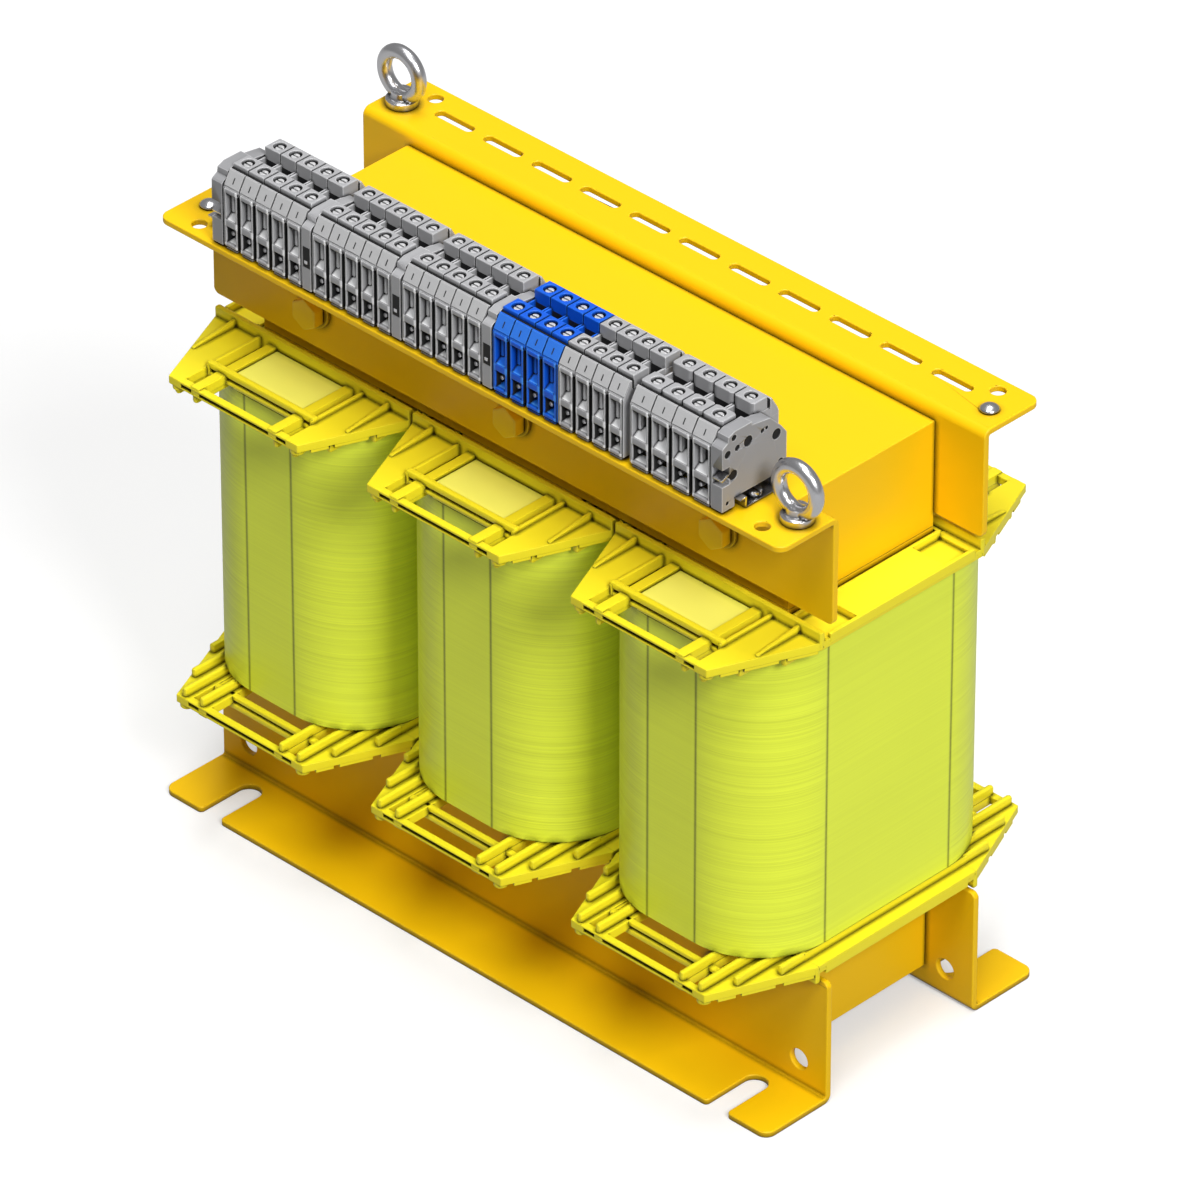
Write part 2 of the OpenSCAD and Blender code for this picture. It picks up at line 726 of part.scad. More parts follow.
funnel_low = 20.5;
funnel_high = 38.6;
funnel_depth = 7.5;
funnel_rise = 7;
test_low = 4;
test_high = 15.6;
test_depth = 5.5;
test_rise = 3;

// Window in the face, from one height to another, with a floor that rises inwards
module face_window(low, high, depth, rise) {
    polygon([[face_y + 1, low], [face_y, low], [face_y - depth, low + rise], [face_y - depth, high],
             [face_y + 1, high]]);
}

// Wire funnel and test window of one face
module face_windows() {
    face_window(funnel_low, funnel_high, funnel_depth, funnel_rise);
    face_window(test_low, test_high, test_depth, test_rise);
}

bridge_y = 4;
bridge_depth = 15;

// One terminal of a given width, on the rail at x
module terminal(x, w) {
    body_w = w - body_gap;
    hollow_w = body_w - 2 * side_wall;
    translate([x, row_centre_y, flange_top]) difference() {
        union() {
            for (turn = [0, 180]) rotate(turn) bar_along_x(body_w) terminal_half_section();
            for (side = [-1, 1])
                translate([-body_w / 2 + body_gap / 2, side * clamp_y - head_d / 2, well_floor - 0.5])
                    cube([body_w - body_gap, head_d, well_depth + 0.5]);
        }
        for (turn = [0, 180]) rotate(turn) bar_along_x(hollow_w) face_windows();
        // Well between the two heads
        translate([-hollow_w / 2, -bridge_y, terminal_h - bridge_depth])
            cube([hollow_w, bridge_y + clamp_y - head_d / 2 - body_gap, bridge_depth]);
        for (side = [-1, 1]) {
            // Chamber of the clamp, and the well and the bore of its screw
            translate([-hollow_w / 2, side * clamp_y - clamp_l / 2, clamp_low])
                cube([hollow_w, clamp_l, clamp_high - clamp_low]);
            translate([0, side * clamp_y, well_floor]) cylinder(d = well_d, h = well_depth + 1);
            translate([0, side * clamp_y, clamp_high - 1])
                cylinder(d = screw_thread_d + 2 * fit_gap, h = well_floor - clamp_high + 2);
        }
        // Tunnel of the current bar
        translate([-bar_w / 2 - fit_gap, -clamp_y, clamp_low + 2])
            cube([bar_w + 2 * fit_gap, 2 * clamp_y, bar_t + 2 * fit_gap]);
    }
}

module terminal_group(i) {
    color(i == 3 ? blue : grey)
        for (k = [0:group_n[i] - 1]) terminal(terminal_x(i, k), group_pitch[i]);
}

// Places its children at each screw of each terminal, and gives $w as the terminal's width
module at_each_screw() {
    for (i = [0:5], k = [0:group_n[i] - 1], side = [-1, 1])
        translate([terminal_x(i, k), row_centre_y + side * clamp_y, flange_top]) {
            $w = group_pitch[i];
            children();
        }
}

module terminal_screws() {
    color(steel) at_each_screw() difference() {
        union() {
            translate([0, 0, well_floor]) cylinder(d = well_d - 1.2, h = screw_head_h);
            translate([0, 0, clamp_low + 7]) cylinder(d = screw_thread_d, h = well_floor - clamp_low - 6);
        }
        translate([-well_d / 2, -0.5, well_floor + screw_head_h - 1.2]) cube([well_d, 1, 2]);
    }
}

// Steel cages that press the wires against the current bars
module terminal_clamps() {
    color(steel) at_each_screw() {
        clamp_w = $w - body_gap - 2 * side_wall - 2 * fit_gap;
        difference() {
            translate([-clamp_w / 2, -clamp_l / 2 + fit_gap, clamp_low])
                cube([clamp_w, clamp_l - 2 * fit_gap, clamp_high - clamp_low - fit_gap]);
            translate([-clamp_w / 2 + 1, -clamp_l, clamp_low + 1.2])
                cube([clamp_w - 2, 2 * clamp_l, clamp_high - clamp_low - 5]);
            cylinder(d = screw_thread_d, h = terminal_h);
        }
    }
}

module terminal_bars() {
    color(copper) for (i = [0:5], k = [0:group_n[i] - 1])
        translate([terminal_x(i, k) - bar_w / 2, row_centre_y - clamp_y - clamp_l / 2,
                   flange_top + clamp_low + 2])
            cube([bar_w, 2 * clamp_y + clamp_l, bar_t]);
}

// Outline of the spacers and brackets, seen from the side: a column in front, a stepped top and a
// slope down to the lower back
module bracket_section() {
    back = face_y - 3.5;
    polygon([
        [-rail_w / 2 - fit_gap, rail_h], [-rail_w / 2 - fit_gap, body_low], [-face_y, body_low],
        [-face_y, shoulder_z + 1], [-face_y + 1, shoulder_z + 2], [-face_y + 4.5, shoulder_z + 4],
        [-face_y + 5, marker_top - 2], [-face_y + 10, marker_top], [-4, marker_top],
        [-4, marker_top - 2], [11, saddle_top], [back - 4.5, shoulder_z - 4], [back, shoulder_z - 10],
        [back, body_low + 9], [rail_w / 2 + fit_gap, body_low + 3], [rail_w / 2 + fit_gap, rail_h]
    ]);
}

// Holes in the outer side of a bracket: distance from its middle, height and diameter
bracket_holes = [[-23.5, 38.5, 5], [-15.7, 39.5, 4], [-7, 40, 7], [4.5, 41.5, 3], [8, 42, 2.4],
                 [16, 34, 7], [19.5, 14, 4.6], [-18.8, 22.8, 6.5], [-18.5, 47.5, 4], [-23.6, 6, 2.6]];
bracket_hole_depth = 3;
notch_low = 18;
notch_high = 29.6;
notch_depth = 6;

// One bracket with its inner side at x = 0 and its outer side at x = w
module bracket(w) {
    difference() {
        translate([w / 2, 0, 0]) bar_along_x(w) bracket_section();
        for (hole = bracket_holes)
            translate([w - bracket_hole_depth, hole[0], hole[1]]) rotate([0, 90, 0])
                cylinder(d = hole[2], h = bracket_hole_depth + 1);
        // Notch in the front face, open to the outer side
        translate([1, -face_y - 1, notch_low]) cube([w, notch_depth + 1, notch_high - notch_low]);
    }
}

clip_t = 1.2;
clip_tilt = 24;

// Steel tongue that slopes down out of a bracket's notch
module bracket_clip(w) {
    translate([1 + fit_gap, -face_y + notch_depth - fit_gap, (notch_low + notch_high) / 2])
        rotate([clip_tilt, 0, 0]) translate([0, -notch_depth, 0]) cube([w - 1.5, notch_depth, clip_t]);
}

module spacer(x) {
    translate([x, row_centre_y, flange_top]) bar_along_x(spacer_w) bracket_section();
}

module group_spacers() {
    color(grey) for (i = [1, 2, 3]) spacer(group_start(i) - group_gap[i] / 2);
}

// Places its children, drawn with their inner side at x = 0, at the left end of the row
module at_left_end() {
    translate([group_start(0) - spacer_gap, row_centre_y, flange_top]) mirror([1, 0, 0]) children();
}

module at_right_end() {
    translate([group_start(5) + group_l(5) + spacer_gap, row_centre_y, flange_top]) children();
}

module left_bracket() { color(grey) at_left_end() bracket(bracket_w); }

module right_bracket() { color(grey) at_right_end() bracket(bracket_w); }

module bracket_clips() {
    color(steel) {
        at_left_end() bracket_clip(bracket_w);
        at_right_end() bracket_clip(bracket_w);
    }
}

yoke(core_lift);  // bottom_yoke
yoke(window_top);  // top_yoke
for (i = [0:2]) {
    x = (i - 1) * limb_pitch;
    limb(x);
    bobbin_tube(x);
    bottom_flange(x);
    top_flange(x);
    primary(x);
    barrier(x);
    secondary(x);
    coil_wrap(x);
}
coil_end_pads();
base_front_angle();
base_rear_angle();
top_front_angle();
top_rear_angle();
bolts(bottom_bolt_z);  // bottom_bolts
nuts(bottom_bolt_z);  // bottom_nuts
washers(bottom_bolt_z);  // bottom_washers
bolts(top_bolt_z);  // top_bolts
nuts(top_bolt_z);  // top_nuts
washers(top_bolt_z);  // top_washers
bolt_sleeves();
eyebolt(eye_x, -upright_y - eye_y);  // eyebolt_front
eyebolt(-eye_x, upright_y + eye_y);  // eyebolt_rear
eyebolt_nuts();
flange_plugs();
terminal_rail();
rail_screws();
for (i = [0:5]) terminal_group(i);
terminal_screws();
terminal_clamps();
terminal_bars();
group_spacers();
left_bracket();
right_bracket();
bracket_clips();
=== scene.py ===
# Dry three-phase transformer: the finish of every piece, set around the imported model.
# Metres in the scene, millimetres in the sizes of the pieces made here. X runs along the core, -Y is the
# terminal side, Z is up, and the feet stand on z = 0.
import math

import bmesh
import bpy
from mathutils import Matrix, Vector


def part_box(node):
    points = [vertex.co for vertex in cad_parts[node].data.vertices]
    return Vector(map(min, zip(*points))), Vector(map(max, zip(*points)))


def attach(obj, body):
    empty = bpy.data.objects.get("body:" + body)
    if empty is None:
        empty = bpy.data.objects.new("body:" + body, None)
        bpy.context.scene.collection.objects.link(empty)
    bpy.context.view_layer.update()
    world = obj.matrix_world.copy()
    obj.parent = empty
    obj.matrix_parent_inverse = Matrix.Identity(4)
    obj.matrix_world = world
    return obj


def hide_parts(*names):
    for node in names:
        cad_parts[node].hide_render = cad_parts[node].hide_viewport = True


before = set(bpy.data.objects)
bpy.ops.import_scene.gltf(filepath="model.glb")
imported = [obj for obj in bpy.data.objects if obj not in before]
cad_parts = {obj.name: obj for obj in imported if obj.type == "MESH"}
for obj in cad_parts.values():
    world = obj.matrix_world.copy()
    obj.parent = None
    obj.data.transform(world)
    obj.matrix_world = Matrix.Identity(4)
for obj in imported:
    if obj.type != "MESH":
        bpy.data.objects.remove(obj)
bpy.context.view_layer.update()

# The view: a long lens from the front right and above, so that the uprights stay nearly parallel.
# The point looked at lies in the middle of the core, a little left of and above the picture's centre.
PICTURE_SIDE = 1200
look_at = Vector((0, 0, 0.210))
camera_azimuth, camera_elevation = 44.364, 34.052
camera_distance = 6.8135
focal_length_px = 11669
look_at_px = (594.4, 589.6)
SENSOR_WIDTH = 36
SIGHT_LIMIT = 60


def toward(azimuth, elevation):
    """The direction from the core to a place at this azimuth and elevation, in degrees."""
    turn, rise = math.radians(azimuth), math.radians(elevation)
    return Vector((math.sin(turn) * math.cos(rise), -math.cos(turn) * math.cos(rise), math.sin(rise)))


def linked(name, data):
    """A new object in the scene."""
    made = bpy.data.objects.new(name, data)
    bpy.context.scene.collection.objects.link(made)
    return made


camera = linked("camera", bpy.data.cameras.new("camera"))
bpy.context.scene.camera = camera
camera.location = look_at + camera_distance * toward(camera_azimuth, camera_elevation)
camera.rotation_euler = (look_at - camera.location).to_track_quat("-Z", "Y").to_euler()
camera.data.sensor_width = SENSOR_WIDTH
camera.data.lens = SENSOR_WIDTH * focal_length_px / PICTURE_SIDE
camera.data.shift_x = (PICTURE_SIDE / 2 - look_at_px[0]) / PICTURE_SIDE
camera.data.shift_y = (look_at_px[1] - PICTURE_SIDE / 2) / PICTURE_SIDE
camera.data.clip_end = SIGHT_LIMIT

# The studio: a soft light on the right gives the visible sides three clear shades, one above the camera
# reaches the wings under the terminals, one overhead lifts the tops, and a pale room fills the shadows.
bpy.context.scene.view_settings.view_transform = "Standard"
ROOM_LEVEL = 0.09
ROOM_IN_GLOSS = 0.3
LAMP_DISTANCE = 9


def soft_light(name, azimuth, elevation, size, level):
    """A square lamp aimed at the core, which lights a surface that faces it at the given level."""
    lamp = linked(name, bpy.data.lights.new(name, "AREA"))
    lamp.location = look_at + LAMP_DISTANCE * toward(azimuth, elevation)
    lamp.rotation_euler = (look_at - lamp.location).to_track_quat("-Z", "Y").to_euler()
    lamp.data.shape = "SQUARE"
    lamp.data.size = size
    lamp.data.energy = level * (math.pi * LAMP_DISTANCE) ** 2


def maths(tree, operation, a, b=None, clamp=False):
    """One Math node; a and b are sockets or numbers. Gives its output socket."""
    node = tree.nodes.new("ShaderNodeMath")
    node.operation = operation
    node.use_clamp = clamp
    for socket, value in zip(node.inputs, (a, b)):
        if isinstance(value, (int, float)):
            socket.default_value = value
        elif value is not None:
            tree.links.new(value, socket)
    return node.outputs[0]


def seen_directly(tree):
    """1 for rays from the camera, a share for those that come by way of a gloss, and 0 for other light."""
    rays = tree.nodes.new("ShaderNodeLightPath").outputs
    seen = maths(tree, "MAXIMUM", rays["Is Camera Ray"], rays["Is Transmission Ray"])
    return maths(tree, "MAXIMUM", seen, maths(tree, "MULTIPLY", rays["Is Glossy Ray"], ROOM_IN_GLOSS))


soft_light("right light", azimuth=72, elevation=39, size=2.8, level=0.72)
soft_light("camera light", azimuth=25, elevation=62, size=3.2, level=0.33)
soft_light("overhead light", azimuth=200, elevation=84, size=4, level=0.58)
world = bpy.data.worlds.new("pale room")
bpy.context.scene.world = world
world.use_nodes = True
room = world.node_tree
backdrop = room.nodes["Background"].inputs
backdrop["Color"].default_value = (1, 1, 1, 1)
room.links.new(maths(room, "MAXIMUM", seen_directly(room), ROOM_LEVEL), backdrop["Strength"])

# The floor: a plain white sheet that keeps the transformer's shadow. It shows white to the camera
# and in reflections, and bounces only a small share of the light.
FLOOR_HALF = 8
FLOOR_SHADOW_SHARE = 0.66
FLOOR_BOUNCE = 0.26
floor_mesh = bpy.data.meshes.new("floor")
floor_mesh.from_pydata([(x * FLOOR_HALF, y * FLOOR_HALF, 0) for x, y in ((-1, -1), (1, -1), (1, 1), (-1, 1))],
                       [], [(0, 1, 2, 3)])
floor = linked("floor", floor_mesh)
white_sheet = bpy.data.materials.new("white sheet")
white_sheet.use_nodes = True
sheet = white_sheet.node_tree
sheet.nodes.remove(sheet.nodes["Principled BSDF"])
paper_white = sheet.nodes.new("ShaderNodeBsdfDiffuse")
glow = sheet.nodes.new("ShaderNodeEmission")
seen = seen_directly(sheet)
share = sheet.nodes.new("ShaderNodeMapRange")
share.inputs["To Min"].default_value = FLOOR_BOUNCE
share.inputs["To Max"].default_value = FLOOR_SHADOW_SHARE
sheet.links.new(seen, share.inputs["Value"])
sheet.links.new(share.outputs["Result"], paper_white.inputs["Color"])
sheet.links.new(maths(sheet, "MULTIPLY", seen, 1 - FLOOR_SHADOW_SHARE), glow.inputs["Strength"])
both = sheet.nodes.new("ShaderNodeAddShader")
sheet.links.new(paper_white.outputs[0], both.inputs[0])
sheet.links.new(glow.outputs[0], both.inputs[1])
sheet.links.new(both.outputs[0], sheet.nodes["Material Output"].inputs["Surface"])
floor_mesh.materials.append(white_sheet)


# The core: grain-oriented sheets stacked into two yokes and three limbs, dipped in yellow paint
# after clamping, so that only its flat sides and rounded edges show.
CORE_EDGE = 0.0005
MERGE_DISTANCE = 2e-6
COPLANAR_ANGLE = 0.5
SHARP_ANGLE = 40
MASK_SAMPLES, MASK_GAIN = 4, 2.0
MIX_FIRST, MIX_SECOND, MIX_RESULT = 6, 7, 2


def noise(tree, vector, scale, detail):
    """One Noise texture on a vector socket. Gives its value socket, less a half."""
    node = tree.nodes.new("ShaderNodeTexNoise")
    node.inputs["Detail"].default_value = detail
    tree.links.new(vector, node.inputs["Vector"])
    if isinstance(scale, (int, float)):
        node.inputs["Scale"].default_value = scale
    else:
        tree.links.new(scale, node.inputs["Scale"])
    return maths(tree, "SUBTRACT", node.outputs["Fac"], 0.5)


def tinted(tree, color, factor):
    """A colour socket multiplied by a value socket."""
    node = tree.nodes.new("ShaderNodeVectorMath")
    node.operation = "SCALE"
    tree.links.new(color, node.inputs[0])
    tree.links.new(factor, node.inputs["Scale"])
    return node.outputs[0]


def blended(tree, factor, first, second):
    """Two colour sockets mixed by a value socket. A Mix node's colour sockets are found by their places."""
    node = tree.nodes.new("ShaderNodeMix")
    node.data_type = "RGBA"
    tree.links.new(factor, node.inputs["Factor"])
    tree.links.new(first, node.inputs[MIX_FIRST])
    tree.links.new(second, node.inputs[MIX_SECOND])
    return node.outputs[MIX_RESULT]


def painted_light_mask(tree, distance, share, inside):
    """1 in the creases of the object, for painted shade, or with inside set, on its edges, for painted
    highlights; 0 on its open faces.
    """
    node = tree.nodes.new("ShaderNodeAmbientOcclusion")
    node.samples = MASK_SAMPLES
    node.inside = inside
    node.only_local = inside
    tree.links.new(distance, node.inputs["Distance"])
    closed = maths(tree, "MULTIPLY", maths(tree, "SUBTRACT", 1.0, node.outputs["AO"]), MASK_GAIN)
    return maths(tree, "MULTIPLY", closed, share, clamp=True)


# The worked surface: a mottled tone, fine grain relief and edges rounded by the Bevel node, with painted
# highlights on the convex edges and painted shade in the creases.
surface = bpy.data.node_groups.new("worked surface", "ShaderNodeTree")
for socket, kind, value in (
        ("Color", "Color", (0.5, 0.5, 0.5, 1)), ("Crease Color", "Color", (0.02, 0.02, 0.02, 1)),
        ("Edge Color", "Color", (0.8, 0.8, 0.8, 1)), ("Crease Share", "Float", 0.9),
        ("Crease Size", "Float", 0.003), ("Edge Share", "Float", 0.5), ("Edge Size", "Float", 0.0008),
        ("Edge Round", "Float", 0.0005), ("Mottle", "Float", 0.05), ("Mottle Scale", "Float", 12.0),
        ("Grain Scale", "Float", 700.0), ("Relief", "Float", 0.00002), ("Roughness", "Float", 0.4),
        ("Roughness Spread", "Float", 0.1)):
    made = surface.interface.new_socket(socket, in_out="INPUT", socket_type="NodeSocket" + kind)
    made.default_value = value
for socket, kind in (("Color", "Color"), ("Roughness", "Float"), ("Normal", "Vector")):
    surface.interface.new_socket(socket, in_out="OUTPUT", socket_type="NodeSocket" + kind)
given = surface.nodes.new("NodeGroupInput").outputs
result = surface.nodes.new("NodeGroupOutput").inputs
place = surface.nodes.new("ShaderNodeTexCoord").outputs["Object"]
cloud = noise(surface, place, given["Mottle Scale"], detail=5.0)
shade = maths(surface, "ADD", maths(surface, "MULTIPLY", cloud, given["Mottle"]), 1.0)
color = tinted(surface, given["Color"], shade)
# Painted highlight: the convex edges lighten towards the highlight colour.
color = blended(surface, painted_light_mask(surface, given["Edge Size"], given["Edge Share"], True),
                color, given["Edge Color"])
# Painted shade: the creases and the gaps between pieces darken towards the shade colour.
color = blended(surface, painted_light_mask(surface, given["Crease Size"], given["Crease Share"], False),
                color, given["Crease Color"])
surface.links.new(color, result["Color"])
surface.links.new(maths(surface, "ADD", given["Roughness"],
                        maths(surface, "MULTIPLY", cloud, given["Roughness Spread"])), result["Roughness"])
round_edge = surface.nodes.new("ShaderNodeBevel")
round_edge.samples = MASK_SAMPLES
surface.links.new(given["Edge Round"], round_edge.inputs["Radius"])
grain_bump = surface.nodes.new("ShaderNodeBump")
surface.links.new(given["Relief"], grain_bump.inputs["Distance"])
surface.links.new(noise(surface, place, given["Grain Scale"], detail=2.0), grain_bump.inputs["Height"])
surface.links.new(round_edge.outputs["Normal"], grain_bump.inputs["Normal"])
surface.links.new(grain_bump.outputs["Normal"], result["Normal"])


def finish_of(name, metallic=0.0, coat=0.0, coat_roughness=0.1, specular=0.5, **values):
    """A material from the worked surface; colours are triples and the other values are numbers."""
    material = bpy.data.materials.new(name)
    material.use_nodes = True
    tree = material.node_tree
    shader = tree.nodes["Principled BSDF"]
    shader.inputs["Metallic"].default_value = metallic
    shader.inputs["Coat Weight"].default_value = coat
    shader.inputs["Coat Roughness"].default_value = coat_roughness
    shader.inputs["Specular IOR Level"].default_value = specular
    worked = tree.nodes.new("ShaderNodeGroup")
    worked.node_tree = surface
    for socket, value in values.items():
        worked.inputs[socket.replace("_", " ").title()].default_value = (
            (*value, 1) if isinstance(value, tuple) else value)
    tree.links.new(worked.outputs["Color"], shader.inputs["Base Color"])
    tree.links.new(worked.outputs["Roughness"], shader.inputs["Roughness"])
    tree.links.new(worked.outputs["Normal"], shader.inputs["Normal"])
    return material


def as_piece(worked, name):
    """Bakes an object's modifiers into a plain mesh under a new name, and removes the worked object."""
    graph = bpy.context.evaluated_depsgraph_get()
    mesh = bpy.data.meshes.new_from_object(worked.evaluated_get(graph), preserve_all_data_layers=True,
                                           depsgraph=graph)
    mesh.name = name
    bpy.data.objects.remove(worked)
    return linked(name, mesh)


def finished(mesh, name, edge_width=0.0, sharp_angle=SHARP_ANGLE):
    """Makes a mesh a piece: smooth between its sharp edges, which can be rounded, and flat on its faces."""
    mesh.shade_smooth()
    mesh.set_sharp_from_angle(angle=math.radians(sharp_angle))
    rough = linked(name + "_rough", mesh)
    if edge_width:
        bevel = rough.modifiers.new("edges", "BEVEL")
        bevel.width = edge_width
        bevel.segments = 2
        bevel.limit_method = "ANGLE"
        bevel.angle_limit = math.radians(SHARP_ANGLE)
        bevel.use_clamp_overlap = False
    rough.modifiers.new("flat faces", "WEIGHTED_NORMAL").keep_sharp = True
    return as_piece(rough, name)


def finished_copy(node, name, edge_width=0.0, sharp_angle=SHARP_ANGLE):
    """A piece that stands for a CAD node and has its shape, with the triangles merged."""
    shape = bmesh.new()
    shape.from_mesh(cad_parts[node].data)
    bmesh.ops.remove_doubles(shape, verts=shape.verts, dist=MERGE_DISTANCE)
    if edge_width:
        bmesh.ops.dissolve_limit(shape, angle_limit=math.radians(COPLANAR_ANGLE), verts=shape.verts,
                                 edges=shape.edges)
    mesh = bpy.data.meshes.new(name)
    shape.to_mesh(mesh)
    shape.free()
    piece = finished(mesh, name, edge_width, sharp_angle)
    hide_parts(node)
    return piece


def dressed(piece, material):
    """Gives a finished piece its one material and its body."""
    piece.data.materials.clear()
    piece.data.materials.append(material)
    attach(piece, "root")
    return piece


stack_paint = finish_of("stack paint", specular=0.25, color=(0.95, 0.575, 0.004),
                        crease_color=(0.05, 0.025, 0.0), edge_color=(1.0, 0.78, 0.06), crease_size=0.003,
                        edge_share=0.5, mottle=0.05, mottle_scale=9.0, grain_scale=260.0, relief=0.00004,
                        roughness=0.45)
for part in ("bottom_yoke", "top_yoke", "limb_left", "limb_centre", "limb_right"):
    dressed(finished_copy(part, part + "_sheets", CORE_EDGE), stack_paint)

# The bobbins: a tube between two flanges, injection moulded in bright yellow plastic. The wings of
# the flanges carry the coil's ends on ribs, and their windows let the leads and the air through.
MM = 0.001
COIL_PITCH = 164
PHASES = ("left", "centre", "right")
BOBBIN_LOW, BOBBIN_HIGH = (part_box("tube_left")[end][2] for end in (0, 1))
FLANGE_HALF, WALL_Y, WING_TIP_X, WING_TIP_Y, WING_ROOT_Y = 81, 68.5, 53.5, 132.5, 67
PLATE, WINDOW_HALF, WING_START = 5.5, 43.5, -66
RIB_LENGTH, RIB_TOP, RIB_FOOT, RIB_ROUND = 60, -4.5, -11.3, 1.7
TUBE_CLEAR, PLATE_ROUND = 51.7, 0.6
LUG_INSET, LUG_RADIUS = 4.6, 4.3
ROUNDED_ANGLE = 30
bobbin_plastic = finish_of("bobbin plastic", specular=0.3, color=(0.93, 0.80, 0.022),
                           crease_color=(0.05, 0.04, 0.0), edge_color=(1.0, 0.95, 0.16), crease_size=0.003,
                           crease_share=1.0, edge_share=0.0, mottle=0.06, mottle_scale=22.0,
                           grain_scale=900.0, roughness=0.40)


def slab(shape, outline, low, high, radius, along="Z"):
    """Adds a plate with round edges: an outline on two axes, drawn from low to high on the third."""
    order = {"X": lambda u, v, w: (w, u, v), "Y": lambda u, v, w: (u, w, v), "Z": lambda u, v, w: (u, v, w)}
    plate = bmesh.new()
    near, far = ([plate.verts.new(order[along](u, v, level)) for u, v in outline] for level in (low, high))
    plate.faces.new(near)
    plate.faces.new(reversed(far))
    for k in range(len(outline)):
        plate.faces.new((near[k], near[k - 1], far[k - 1], far[k]))
    bmesh.ops.recalc_face_normals(plate, faces=plate.faces)
    if radius:
        edges = [edge for edge in plate.edges if edge.calc_face_angle(0) > math.radians(ROUNDED_ANGLE)]
        bmesh.ops.bevel(plate, geom=edges, offset=radius, segments=2, profile=0.5, affect="EDGES",
                        clamp_overlap=True)
    bmesh.ops.scale(plate, vec=(MM, MM, MM), verts=plate.verts)
    mesh = bpy.data.meshes.new("slab")
    plate.to_mesh(mesh)
    plate.free()
    shape.from_mesh(mesh)
    bpy.data.meshes.remove(mesh)


def block(shape, x, y, z, radius):
    """Adds a box with round edges between two values on each axis."""
    slab(shape, [(x[0], y[0]), (x[1], y[0]), (x[1], y[1]), (x[0], y[1])], min(z), max(z), radius)


def circle(u, v, radius, count=24, start=0.0, sweep=360.0):
    """Points on a circle or, with a sweep below 360, on an arc with both its ends."""
    steps = count if sweep == 360.0 else count - 1
    return [(u + radius * math.cos(math.radians(start + sweep * k / steps)),
             v + radius * math.sin(math.radians(start + sweep * k / steps))) for k in range(count)]


def mesh_of(shape, name):
    """Turns a bmesh into a mesh and frees it."""
    mesh = bpy.data.meshes.new(name)
    shape.to_mesh(mesh)
    shape.free()
    return mesh


def new_tree(name, inputs):
    """A geometry tree with named inputs (name, kind, value). Gives the tree, its inputs and its outputs."""
    tree = bpy.data.node_groups.new(name, "GeometryNodeTree")
    for socket, kind, value in (("Geometry", "Geometry", None), *inputs, ("Material", "Material", None)):
        made = tree.interface.new_socket(socket, in_out="INPUT", socket_type="NodeSocket" + kind)
        if value is not None:
            made.default_value = value
    tree.interface.new_socket("Geometry", in_out="OUTPUT", socket_type="NodeSocketGeometry")
    return tree, tree.nodes.new("NodeGroupInput").outputs, tree.nodes.new("NodeGroupOutput").inputs


def added(tree, kind, mode=None, **inputs):
    """One geometry node, in its mode, with its inputs linked to sockets or set to values."""
    node = tree.nodes.new("GeometryNode" + kind)
    if mode:
        node.mode = mode
    for socket, value in inputs.items():
        socket = node.inputs[socket.replace("_", " ").title()]
        if isinstance(value, bpy.types.NodeSocket):
            tree.links.new(value, socket)
        else:
            socket.default_value = value
    return node


def set_out(tree, geometry, material, result):
    """Ends a tree: real meshes in place of instances, and their material."""
    real = added(tree, "RealizeInstances", geometry=geometry)
    coated = added(tree, "SetMaterial", geometry=real.outputs[0], material=material)
    tree.links.new(coated.outputs[0], result["Geometry"])


def grown(tree, material, **values):
    """The mesh that a geometry tree makes with these values for its named inputs."""
    host = linked("host", bpy.data.meshes.new("host"))
    modifier = host.modifiers.new("grown", "NODES")
    modifier.node_group = tree
    values["material"] = material
    for socket in tree.interface.items_tree:
        key = socket.name.replace(" ", "_").lower()
        if socket.in_out == "INPUT" and key in values:
            modifier[socket.identifier] = values[key]
    graph = bpy.context.evaluated_depsgraph_get()
    mesh = bpy.data.meshes.new_from_object(host.evaluated_get(graph))
    bpy.data.objects.remove(host)
    return mesh


wing_ribs, given, result = new_tree("wing ribs", [
    ("Rib", "Object", None), ("Count", "Int", 4), ("First", "Vector", (0, 0, 0)),
    ("Step", "Vector", (0, 0, 0)), ("Half Width", "Float", 0.0), ("Root Y", "Float", 0.0),
    ("Slope", "Float", 1.0), ("Tip Y", "Float", 0.0), ("Inner Y", "Float", 0.0),
    ("Rib Length", "Float", 1.0)])
line = added(wing_ribs, "MeshLine", "OFFSET", count=given["Count"], start_location=given["First"],
             offset=given["Step"])
apart = wing_ribs.nodes.new("ShaderNodeSeparateXYZ")
wing_ribs.links.new(added(wing_ribs, "InputPosition").outputs[0], apart.inputs[0])
room_beside = maths(wing_ribs, "SUBTRACT", given["Half Width"],
                    maths(wing_ribs, "ABSOLUTE", apart.outputs["X"]))
reach = maths(wing_ribs, "ADD", given["Root Y"], maths(wing_ribs, "MULTIPLY", room_beside, given["Slope"]))
reach = maths(wing_ribs, "SUBTRACT", maths(wing_ribs, "MINIMUM", reach, given["Tip Y"]), given["Inner Y"])
stretch = wing_ribs.nodes.new("ShaderNodeCombineXYZ")
stretch.inputs["X"].default_value = stretch.inputs["Z"].default_value = 1.0
wing_ribs.links.new(maths(wing_ribs, "DIVIDE", reach, given["Rib Length"]), stretch.inputs["Y"])
one_rib = added(wing_ribs, "ObjectInfo", object=given["Rib"], as_instance=True)
ribs = added(wing_ribs, "InstanceOnPoints", points=line.outputs[0], instance=one_rib.outputs["Geometry"],
             scale=stretch.outputs[0])
set_out(wing_ribs, ribs.outputs[0], given["Material"], result)

